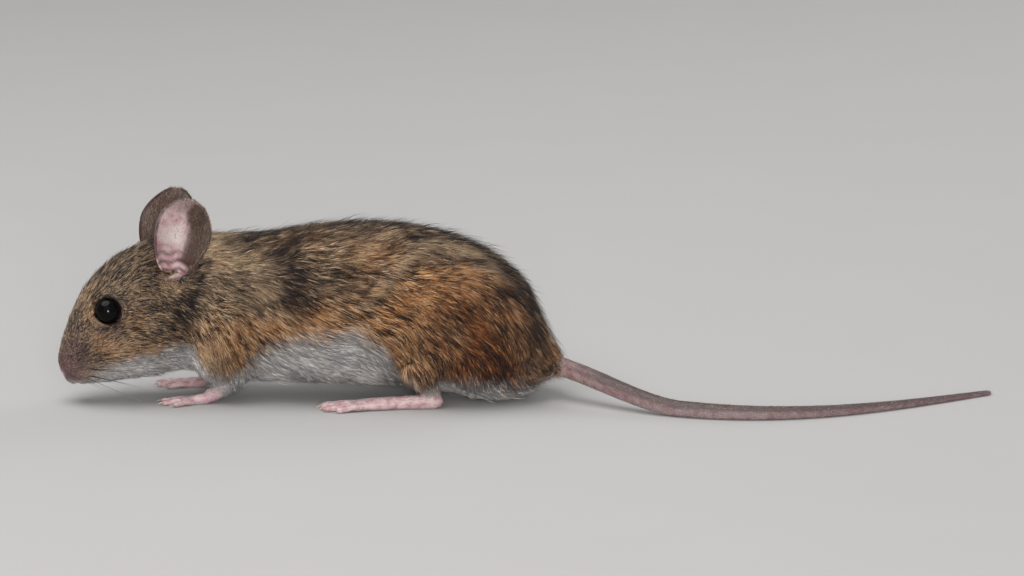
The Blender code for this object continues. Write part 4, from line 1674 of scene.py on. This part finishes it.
    def mark_tail(self, points: Array, marks: Marks) -> None:
        """Marks the tail's bare skin, slate above, with painted shade in the grooves between its rings, and
        darker towards the tip.

        Args:
            points: the skin's vertices on the straight mouse.
            marks: takes the marks.
        """
        t = self.tail.share(points)
        wide = self.tail.radius(np.clip(t, 0, 1)) + 0.9
        on_tail = rise(t, 0.012, 0.02) * (self.tail.off_line(points) < wide)
        top = smoothstep((points[:, 2] - self.tail.line(t)[:, 2]) / 1.2 + 0.3)
        marks.add("on_tail", on_tail)
        marks.add("bare", on_tail)
        marks.add("slate", on_tail * (0.55 + 0.45 * top) * (0.45 + 0.55 * rise(t, -0.02, 0.16)))
        # painted shade in the grooves between the rings, and darker towards the tip
        marks.add("crease", on_tail * (0.30 * (1 - self.tail.ring_wave(t)) + 0.30 * rise(t, 0.45, 0.5)))

    def mark_face(self, points: Array, marks: Marks) -> None:
        """Marks the bare nose and lids, with painted shade in the nostrils, the mouth groove and the edge of
        each lid.

        Args:
            points: the skin's vertices on the straight mouse.
            marks: takes the marks.
        """
        off_nose = ((points - (-90.8, 0.0, 5.2)) / (1.6, 2.2, 2.1)) ** 2
        marks.add("bare", np.exp(-off_nose.sum(axis=1) ** 2))
        # painted shade in the nostrils and the mouth groove
        for nostril in self.nostrils:
            marks.add("crease", np.clip(nostril.at(points) * 1.3, 0, 1))
        marks.add("crease", np.clip(self.mouth(points) * 1.6, 0, 0.7))
        for side, _ in SIDES:
            off_axis, height = self.eye.measure(points, side)
            beyond = off_axis - self.eye.opening
            marks.add("crease", 0.9 * (bump(beyond, -0.05, 0.30) * (height > 0)))
            marks.add("bare", 0.8 * (bump(beyond, 0.42, 0.22) * (height > 0)))


# ---- the coat


class Region(Enum):
    """The stretches that the coat is parted into, valued by where they end towards the tail."""

    FACE = -78.0
    HEAD = -66.0
    SHOULDER = -50.0
    FLANK = -28.0
    HAUNCH = -10.0
    RUMP = math.inf


@dataclass
class Roots:
    """Where tufts stand: rows of places and directions, with the numbers each tuft carries."""

    place: Array
    straight: Array
    normal: Array
    heading: Array
    uv: Array
    length: Array
    lift: Array
    width: Array
    marks: dict[str, Array]

    def part(self, chosen: Array) -> "Roots":
        """The chosen tufts only."""
        rows = [getattr(self, field.name)[chosen] for field in fields(self) if field.name != "marks"]
        return Roots(*rows, {name: values[chosen] for name, values in self.marks.items()})


@dataclass(frozen=True)
class Coat:
    """Grows tufts of hair over the skin, along the comb's lie."""

    posture: Posture
    comb: Comb
    eye: Eye
    tail: Tail
    seed: int = 41
    bent_from: float = 1.55
    bent_share: float = 0.22
    stray_share: float = 0.075
    stray_lift: float = 12.0
    stray_length: float = 1.25
    # how much locks differ, and the hairs in one
    swing_spread: tuple = (0.10, 0.10)
    lift_spread: tuple = (3.5, 3.0)
    length_spread: tuple = (0.12, 0.15)
    width_spread: float = 0.2
    patch: float = 0.003
    strand: tuple = (0.75, 0.09)  # a lock's length and width, as shares of its hairs' length
    strand_turns: int = 24
    strand_keys: int = 4096  # locks with the same key share one tint and lie
    primes: tuple = (73856093, 19349663, 83492791, 50331653)
    clump: float = 0.55
    lowest: float = 0.02
    # length, lift, width and density
    ear_hair: tuple = (0.55, 14.0, 0.075, 24.0)
    tail_hair: tuple = (0.80, 8.0, 0.055, 7.0)
    foot_hair: tuple = (0.60, 12.0, 0.070, 9.0)
    cuff_hair: tuple = (0.95, 11.0, 0.085, 44.0)
    skirt_hair: tuple = (2.1, 24.0, 0.110, 34.0)

    def near_tail(self, straight: Array) -> Array:
        """How far points lie in the ring of the rump round the tail's root, 0 to 1."""
        t = self.tail.share(straight)
        return rise(self.tail.off_line(straight), 4.6, -2.2) * rise(t, -0.045, 0.02) * (t < 0.08)

    def traits(self, marks: dict[str, Array], placed: Array, straight: Array) -> Array:
        """The coat's traits at every vertex of the skin.

        Args:
            marks: the skin's marks.
            placed: its vertices in the frame.
            straight: its vertices on the straight mouse.

        Returns:
            Rows of length, lift, width and density.
        """
        traits = mixed(self.comb.traits_at(straight), self.skirt_hair, self.near_tail(straight)[:, None])
        for paw in PAWS:
            away = np.linalg.norm(placed - paw.heel() - (0.0, 0.0, 2.5), axis=1)[:, None]
            traits = mixed(traits, self.cuff_hair, rise(away, 6.2, -2.6))
        for name, hair in (("on_ear", self.ear_hair), ("on_tail", self.tail_hair),
                           ("on_foot", self.foot_hair)):
            traits = mixed(traits, hair, marks[name][:, None])
        length, density = traits[:, 0], traits[:, 3]
        density *= 1 - 0.80 * (marks["ear_inside"] * (1 - marks["dusk"]))
        density *= 1 - 0.35 * marks["rosy"]
        nose = marks["bare"] * (straight[:, 0] < -85)
        density *= (1 - rise(marks["crease"], 0.35, 0.3)) * (1 - rise(nose, 0.3, 0.4))
        density *= 1 - rise(marks["hollow"], 0.1, 0.3)
        for ear in EARS:
            length *= 1 - 0.6 * rise(ear.canal(straight), 0.002, 0.2)
        for side, _ in SIDES:
            off_axis, height = self.eye.measure(straight, side)
            density[(off_axis < self.eye.opening + 0.12) & (height > -0.6)] = 0.0
        return traits

    def headings(self, marks: dict[str, Array], straight: Array, normals: Array) -> Array:
        """The lie of the coat at every vertex of the skin, on the straight mouse.

        Args:
            marks: the skin's marks.
            straight: its vertices.
            normals: its outward directions there.

        Returns:
            Unit rows along the skin.
        """
        t = np.clip(self.tail.share(straight), 0.0, 1.0)
        down_tail = unit(self.tail.line(t + 0.01) - self.tail.line(t))
        to_tail = unit(self.tail.line(t) - straight) + 0.6 * down_tail
        lie = mixed(self.comb.lie(straight, normals), to_tail, self.near_tail(straight)[:, None])
        up_ear = np.where(straight[:, 1:2] < 0, EARS[0].axes()[2], EARS[1].axes()[2])
        for name, way in (("on_ear", up_ear), ("on_tail", down_tail), ("on_foot", (-1.0, 0.0, -0.3))):
            lie = mixed(lie, way, marks[name][:, None])
        return unit(flattened(lie, normals))

    def scatter(self, skin: Object) -> Roots:
        """Spreads roots over the skin, closer where the coat is short and fine.

        Args:
            skin: the whole skin, with its marks.

        Returns:
            The roots.
        """
        mesh = skin.data
        rng = np.random.default_rng(self.seed)
        placed, normals = coordinates(skin), vertex_normals(skin)
        straight, straight_normals, share = self.posture.straight_skin(skin)
        stored = {name: read(mesh.attributes[name].data, "value", 1)[:, 0]
                  for name in COAT_MARKS + SKIN_MARKS}
        traits = self.traits(stored, placed, straight)
        lies = self.posture.rotated(self.headings(stored, straight, straight_normals), share)
        mesh.calc_loop_triangles()
        corners = read(mesh.loop_triangles, "vertices", kind=int)
        a, b, c = (placed[corners[:, k]] for k in range(3))
        area = np.linalg.norm(np.cross(b - a, c - a), axis=1) / 2
        running = np.cumsum(area * traits[corners, 3].mean(axis=1))
        count = int(running[-1])
        which = np.searchsorted(running, (np.arange(count) + rng.random(count)) * running[-1] / count)
        which = np.minimum(which, len(area) - 1)
        mix = rng.dirichlet((1.0, 1.0, 1.0), count)
        corner, loop = corners[which], read(mesh.loop_triangles, "loops", kind=int)[which]

        def spread(values: Array) -> Array:
            """Values of the skin's vertices at the roots."""
            return np.einsum("ij,ij...->i...", mix, values[corner])

        marks = {name: spread(stored[name]) for name in (*COAT_MARKS, "on_ear", "on_tail", "on_foot")}
        lit = spread(stored["ear_inside"]) * (1 - spread(stored["dusk"]))
        for name in COAT_MARKS:
            marks[name] = marks[name] * (1 - marks["on_ear"])
        marks["dark"] = np.maximum(marks["dark"], 0.6 * marks["on_ear"])
        # painted light: the hairs inside the ear are pale where light shines through it
        marks["pale"] = np.maximum(marks["pale"], 0.9 * lit)
        uv = np.einsum("ij,ijk->ik", mix, read(mesh.uv_layers[UV_MAP].data, "uv", 2)[loop])
        return Roots(spread(placed), spread(straight), unit(spread(normals)), unit(spread(lies)), uv,
                     *spread(traits).T[:3], marks)

    def locks(self, roots: Roots, jitter: Array) -> tuple[Array, Array]:
        """Groups roots into narrow locks that run along the coat.

        Args:
            roots: the tufts' roots.
            jitter: a number 0 to 1 for each, which blurs the locks' ends.

        Returns:
            The key of each root's lock, and the way to the lock's middle line in millimetres.
        """
        turn = math.pi / self.strand_turns
        step = np.round(np.arctan2(roots.heading[:, 2], roots.heading[:, 0]) / turn).astype(np.int64)
        cos, sin = np.cos(step * turn), np.sin(step * turn)
        x, y, z = roots.straight.T
        band = np.exp2(np.round(np.log2(np.clip(roots.length, 0.9, 3.4)) * 2) / 2)
        long, wide = self.strand[0] * band, self.strand[1] * band
        aside = (z * cos - x * sin) / wide
        ahead = (x * cos + z * sin) / long
        cells = (np.floor(ahead + 0.5 * jitter), np.floor(aside), np.floor(y / wide), step)
        key = np.zeros(len(x), np.int64)
        for number, prime in zip(cells, self.primes):
            key ^= number.astype(np.int64) * prime
        down = np.column_stack((-sin, np.zeros(len(x)), cos))
        middle = down * ((cells[1] + 0.5 - aside) * wide)[:, None]
        middle[:, 1] += (cells[2] + 0.5) * wide - y
        return key % self.strand_keys, middle

    def ruffle(self, roots: Roots) -> Roots:
        """Parts the coat into small locks and gives every tuft its own length, lift and tint.

        Args:
            roots: where the tufts stand, as combed.

        Returns:
            The same roots, changed.
        """
        rng = np.random.default_rng(self.seed + 1)
        count = len(roots.length)
        key, middle = self.locks(roots, rng.random((count, 3))[:, 0])
        table = np.random.default_rng(self.seed + 2).normal(size=(self.strand_keys, 4))
        own = table[key]
        aside = np.cross(roots.normal, roots.heading)
        gather = self.clump * np.sum(middle * aside, axis=1) / np.maximum(roots.length, 0.5)
        drift = Ripple(9.0, 21).at(roots.straight) * 0.22
        of_lock, of_hair = self.swing_spread
        swing = drift + gather + of_lock * own[:, 0] + of_hair * rng.normal(size=count)
        roots.heading = unit(roots.heading + aside * swing[:, None])
        stray = rng.random(count) < self.stray_share
        of_lock, of_hair = self.lift_spread
        roots.lift = np.clip(roots.lift + of_lock * own[:, 1] + of_hair * rng.normal(size=count), 4, 40)
        roots.lift = np.where(stray, roots.lift + self.stray_lift, roots.lift)
        of_lock, of_hair = self.length_spread
        growth = 1.0 + of_lock * own[:, 2] + of_hair * rng.normal(size=count)
        roots.length = roots.length * np.clip(growth, 0.5, 1.5)
        roots.length = np.where(stray, roots.length * self.stray_length, roots.length)
        roots.width = roots.width * np.clip(1.0 + self.width_spread * rng.normal(size=count), 0.6, 1.5)
        together = 0.5 + 0.5 * np.vectorize(math.erf)(table[:, 3] / math.sqrt(2))
        shared = 0.66 * np.clip(roots.length / 2.6, 0.50, 1.0)
        chance = (1 - shared) * rng.random(count) + shared * together[key]
        chance = np.where(stray, chance * 0.5, chance)
        mottle = 0.13 * Ripple(4.5, 31).at(roots.straight * (0.6, 1.0, 1.0))
        mottle = mottle + 0.10 * Ripple(1.8, 32).at(roots.straight)
        roots.marks["chance"] = np.clip((chance - 0.5) * 1.45 + 0.5 + mottle, 0, 1)
        roots.marks["bent"] = rng.random(count)
        pale = roots.marks["pale"]
        feather = roots.marks["bent"] * 7.0 % 1.0 - 0.5
        roots.marks["pale"] = np.clip(pale + 3.0 * feather * pale * (1 - pale), 0, 1)
        return roots

    def tufts(self, roots: Roots, bent: bool) -> tuple[Array, Array, Array]:
        """The corners and faces of tufts.

        Args:
            roots: where they stand.
            bent: whether they curve down to the skin, in two lengths, or are one short straight spike.

        Returns:
            Rows of each tuft's corners, triangles, and the share along the tuft of each of its corners.
        """
        angle = np.radians(roots.lift)[:, None]
        side = np.cross(roots.normal, roots.heading)
        lower = roots.heading * np.cos(angle) + roots.normal * np.sin(angle)
        upper = roots.heading * np.cos(angle / 3) + roots.normal * np.sin(angle / 3)
        half = roots.width[:, None] / 2
        start = roots.place - roots.normal * half * 0.6
        middle = start + lower * roots.length[:, None] * 0.5

        def ring(centre: Array, way: Array, size: float) -> list[Array]:
            """The three corners of a tuft's section."""
            over = np.cross(way, side)
            across = side * half * size
            return [centre - across, centre + across, centre + over * half * size * 0.9]

        if bent:
            rows = ring(start, lower, 0.75) + ring(middle, unit(lower + upper), 1.0)
            rows.append(middle + upper * roots.length[:, None] * 0.5)
            shape = ((0, 2, 1), (0, 1, 4), (0, 4, 3), (1, 2, 5), (1, 5, 4), (2, 0, 3), (2, 3, 5), (3, 4, 6),
                     (4, 5, 6), (5, 3, 6))
            along = (0, 0, 0, 0.5, 0.5, 0.5, 1)
        else:
            rows = ring(start, lower, 1.0)
            rows.append(start + (lower * 0.6 + upper * 0.4) * roots.length[:, None])
            shape = ((0, 2, 1), (0, 1, 3), (1, 2, 3), (2, 0, 3))
            along = (0, 0, 0, 1)
        first = np.arange(len(roots.length)) * len(rows)
        faces = (np.array(shape) + first[:, None, None]).reshape(-1, 3)
        return np.stack(rows, axis=1), faces, np.array(along)

    def piece(self, name: str, roots: Roots, finish: bpy.types.Material) -> None:
        """Makes one object of the tufts on roots.

        Args:
            name: the piece's name.
            roots: its tufts' roots.
            finish: its material.
        """
        long = (roots.length >= self.bent_from) & (roots.marks["bent"] < self.bent_share)
        names = (*COAT_MARKS, "chance")
        stacks, offset = [], 0
        for chosen, bent in ((long, True), (~long, False)):
            some = roots.part(chosen)
            rows, faces, shares = self.tufts(some, bent)
            count, corners = rows.shape[:2]
            along = np.tile(shares, count)
            across = np.tile(np.arange(corners) % 3 / 2.0 - 0.5, count)
            uv = np.repeat(some.uv, corners, axis=0) + np.column_stack((across, along - 0.5)) * self.patch
            marks = [np.repeat(some.marks[mark], corners) for mark in names]
            stacks.append((rows.reshape(-1, 3), faces + offset, uv, along, *marks))
            offset += count * corners
        points, faces, uv, *marks = (np.concatenate(both) for both in zip(*stacks))
        points[:, 2] = np.maximum(points[:, 2], self.lowest)
        order = faces.astype(np.int32).ravel()
        mesh = bpy.data.meshes.new(name)
        mesh.vertices.add(len(points))
        mesh.vertices.foreach_set("co", (points * MM).astype(np.float32).ravel())
        mesh.loops.add(len(order))
        mesh.loops.foreach_set("vertex_index", order)
        mesh.polygons.add(len(faces))
        mesh.polygons.foreach_set("loop_start", np.arange(0, len(order), 3, dtype=np.int32))
        mesh.polygons.foreach_set("use_smooth", np.ones(len(faces), bool))
        mesh.update(calc_edges=True)
        for mark, values in zip(("along", *names), marks):
            set_attribute(mesh, mark, values)
        layer = mesh.uv_layers.new(name=UV_MAP)
        layer.data.foreach_set("uv", np.clip(uv, 0, 1)[order].astype(np.float32).ravel())
        finished(linked(name, mesh), finish)

    def build(self, skin: Object) -> None:
        """The whole coat, one piece for each region, and the down on ears, tail and feet.

        Args:
            skin: the whole skin, with its marks.
        """
        roots = self.ruffle(self.scatter(skin))
        finish = CoatFinish().material()
        covered = roots.marks["on_ear"] + roots.marks["on_tail"] + roots.marks["on_foot"] < 0.5
        stretch = np.searchsorted([region.value for region in Region], roots.straight[:, 0])
        left = roots.straight[:, 1] < 0
        for k, region in enumerate(Region):
            slot = "coat_orange" if region is Region.HAUNCH else "coat_brown"
            for side, word in SIDES:
                chosen = covered & (stretch == k) & (left == (side < 0))
                self.piece(f"coat_{region.name.lower()}_{word}", roots.part(chosen), finish)
        for name, mark, slot in (("down_ears", "on_ear", "ear_skin"), ("down_tail", "on_tail", "tail_skin"),
                                 ("down_feet", "on_foot", "foot_skin")):
            self.piece(name, roots.part(roots.marks[mark] >= 0.5), finish)


# ---- whiskers and claws


@dataclass(frozen=True)
class Whiskers:
    """Two fans of long stiff hairs on the muzzle, and a few over the eyes."""

    posture: Posture
    rows: int = 4
    in_row: int = 6
    over_eye: int = 2
    root_radius: float = 0.055
    tip_radius: float = 0.012
    shortest: float = 5.0
    longest: float = 20.0
    droop: float = -0.05
    seed: int = 77

    def hair(self, root: Array, heading: Array, length: float) -> Object:
        """One tapered hair that sags as it goes out.

        Args:
            root: where it stands.
            heading: the way it points.
            length: its length.

        Returns:
            The new object.
        """
        rows = []
        for k in range(6):
            t = k / 5
            sag = np.array((0.12 * length * t * t, 0.0, self.droop * length * t * t))
            point = root + heading * length * t + sag
            radius = self.root_radius + (self.tip_radius - self.root_radius) * t
            rows.append((*point, radius, radius))
        obj = limb("whisker", rows, 5, 12)
        mark_along(obj, root, length)
        move_vertices(obj, self.posture.turned(coordinates(obj)))
        return obj

    def fan(self, side: int, rng: np.random.Generator) -> list[Object]:
        """The hairs of one side's muzzle.

        Args:
            side: -1 for left, 1 for right.
            rng: draws each hair's own lie and length.

        Returns:
            One object for each hair.
        """
        hairs = []
        for row in range(self.rows):
            for k in range(self.in_row):
                back, high = k / (self.in_row - 1), row / (self.rows - 1)
                root = np.array((-89.0 + 3.6 * back, side * (1.9 + 1.3 * back),
                                 5.4 + 3.4 * high + 0.3 * back))
                heading = unit(np.array((0.15 + 0.75 * back, side * (0.75 + 0.1 * high),
                                         0.55 * high - 0.08)))
                heading = unit(heading + 0.08 * rng.normal(size=3))
                reach = (self.longest - self.shortest) * (0.25 + 0.75 * back) * rng.uniform(0.7, 1)
                hairs.append(self.hair(root, heading, self.shortest + reach))
        return hairs

    def build(self) -> None:
        """Both fans, each one piece with the hairs over its eye."""
        rng = np.random.default_rng(self.seed)
        finish = WhiskerFinish().material()
        for side, word in SIDES:
            hairs = self.fan(side, rng)
            for k in range(self.over_eye):
                root = np.array((-83.0 + 1.6 * k, side * 4.0, 22.2 + 0.5 * k))
                hairs.append(self.hair(root, unit(np.array((0.4, side * 0.7, 0.7))), 9.0 - 2 * k))
            finished(joined(hairs, f"whiskers_{word}"), finish)


@dataclass(frozen=True)
class Claws:
    """A small curved claw on every toe of a foot."""

    paw: Paw
    length: float = 1.15
    radius: float = 0.20
    # rows along a claw: the share of its length, its drop, and the share of its radius
    curve: tuple = ((-0.3, 0.02, 0.7), (0.1, 0.06, 1.0), (0.4, 0.04, 0.8), (0.7, -0.12, 0.5),
                    (1.0, -0.42, 0.14))

    def claw(self, toe: Toe) -> Object:
        """The claw of one toe, before it is placed.

        Args:
            toe: the toe that it tips.

        Returns:
            The new object.
        """
        path = self.paw.toe_path(toe)
        tip, before = path[-2, :3], path[-4, :3]
        heading = unit((tip - before) * (1, 1, 0))
        start = tip + np.array((0.0, 0.0, 0.10 * toe.radius))
        rows = []
        for t, drop, size in self.curve:
            point = start + heading * self.length * t
            point[2] = max(point[2] + drop * 0.6, self.radius * size * 0.8)
            rows.append((*point, self.radius * size, self.radius * size))
        claw = limb("claw", rows, 8, 14)
        mark_along(claw, start, self.length)
        return claw

    def build(self) -> None:
        """The claws of one foot, as one piece."""
        name = self.paw.name.replace("paw", "claws").replace("foot", "claws")
        obj = joined([self.claw(toe) for toe in self.paw.toes], name)
        move_vertices(obj, self.paw.placed(coordinates(obj)))
        finished(obj, HornFinish().material())


# ---- studio


@dataclass(frozen=True)
class Studio:
    """A pale floor, soft light and the camera."""

    target: tuple = (-0.002857, 0.003099, 0.02124)
    distance: float = 1.104
    elevation: float = math.radians(12)
    lens: float = 200.0
    floor_size: float = 6.0
    sky_strength: float = 0.52
    # name, place, size and power of each light
    lamps: tuple = (
        ("sky_light", (-0.26, -0.05, 0.75), 0.78, 4.8),
        ("front_light", (-0.15, -1.30, 0.75), 1.60, 2.6),
        ("catch_light", (0.03, -0.85, 0.19), 0.20, 3.8),
        ("far_light", (0.55, 0.55, 0.40), 0.55, 1.6),
    )

    def floor(self) -> None:
        """The floor that the mouse stands on."""
        floor = grid("studio_floor", 8, 8, self.floor_size)
        floor.data.materials.append(FloorFinish().material())

    def area(self, name: str, place: tuple, size: float, power: float) -> None:
        """A round soft light that faces the mouse.

        Args:
            name: the lamp's name.
            place: where it hangs, in metres.
            size: its breadth.
            power: its power in watts.
        """
        data = bpy.data.lights.new(name, "AREA")
        data.shape = "DISK"
        data.size = size
        data.energy = power
        lamp = linked(name, data)
        lamp.location = place
        lamp.rotation_euler = (Vector(self.target) - Vector(place)).to_track_quat("-Z", "Y").to_euler()

    def sky(self) -> None:
        """Even light from all round."""
        world = bpy.data.worlds.new("soft_sky")
        world.use_nodes = True
        background = world.node_tree.nodes["Background"].inputs
        background["Color"].default_value = shade(214, 217, 222)
        background["Strength"].default_value = self.sky_strength
        bpy.context.scene.world = world
        bpy.context.scene.view_settings.view_transform = "Standard"

    def camera(self) -> None:
        """The camera, which looks along the mouse's left side."""
        data = bpy.data.cameras.new("camera")
        data.lens = self.lens
        data.clip_end = 20.0
        camera = linked("camera", data)
        away = Vector((0.0, math.cos(self.elevation), -math.sin(self.elevation)))
        camera.location = Vector(self.target) - away * self.distance
        camera.rotation_euler = away.to_track_quat("-Z", "Y").to_euler()
        bpy.context.scene.camera = camera

    def build(self) -> None:
        """Floor, lights, world and camera."""
        self.floor()
        for lamp in self.lamps:
            self.area(*lamp)
        self.sky()
        self.camera()


# ---- assembly


def main() -> None:
    """Builds the studio, then the mouse from its skin outwards."""
    logging.basicConfig(level=logging.INFO, format="%(name)s: %(message)s")
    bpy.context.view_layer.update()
    Studio().build()
    posture, comb, tail = Posture(), Comb(GUIDES), Tail()
    eye = Eye(posture)
    skin = Skin(posture, comb, Markings(), eye, tail).build()
    for side, word in SIDES:
        eye.build(side, word)
    for paw in PAWS:
        Claws(paw).build()
    Whiskers(posture).build()
    Coat(posture, comb, eye, tail).build(skin)


if __name__ == "__main__":
    main()
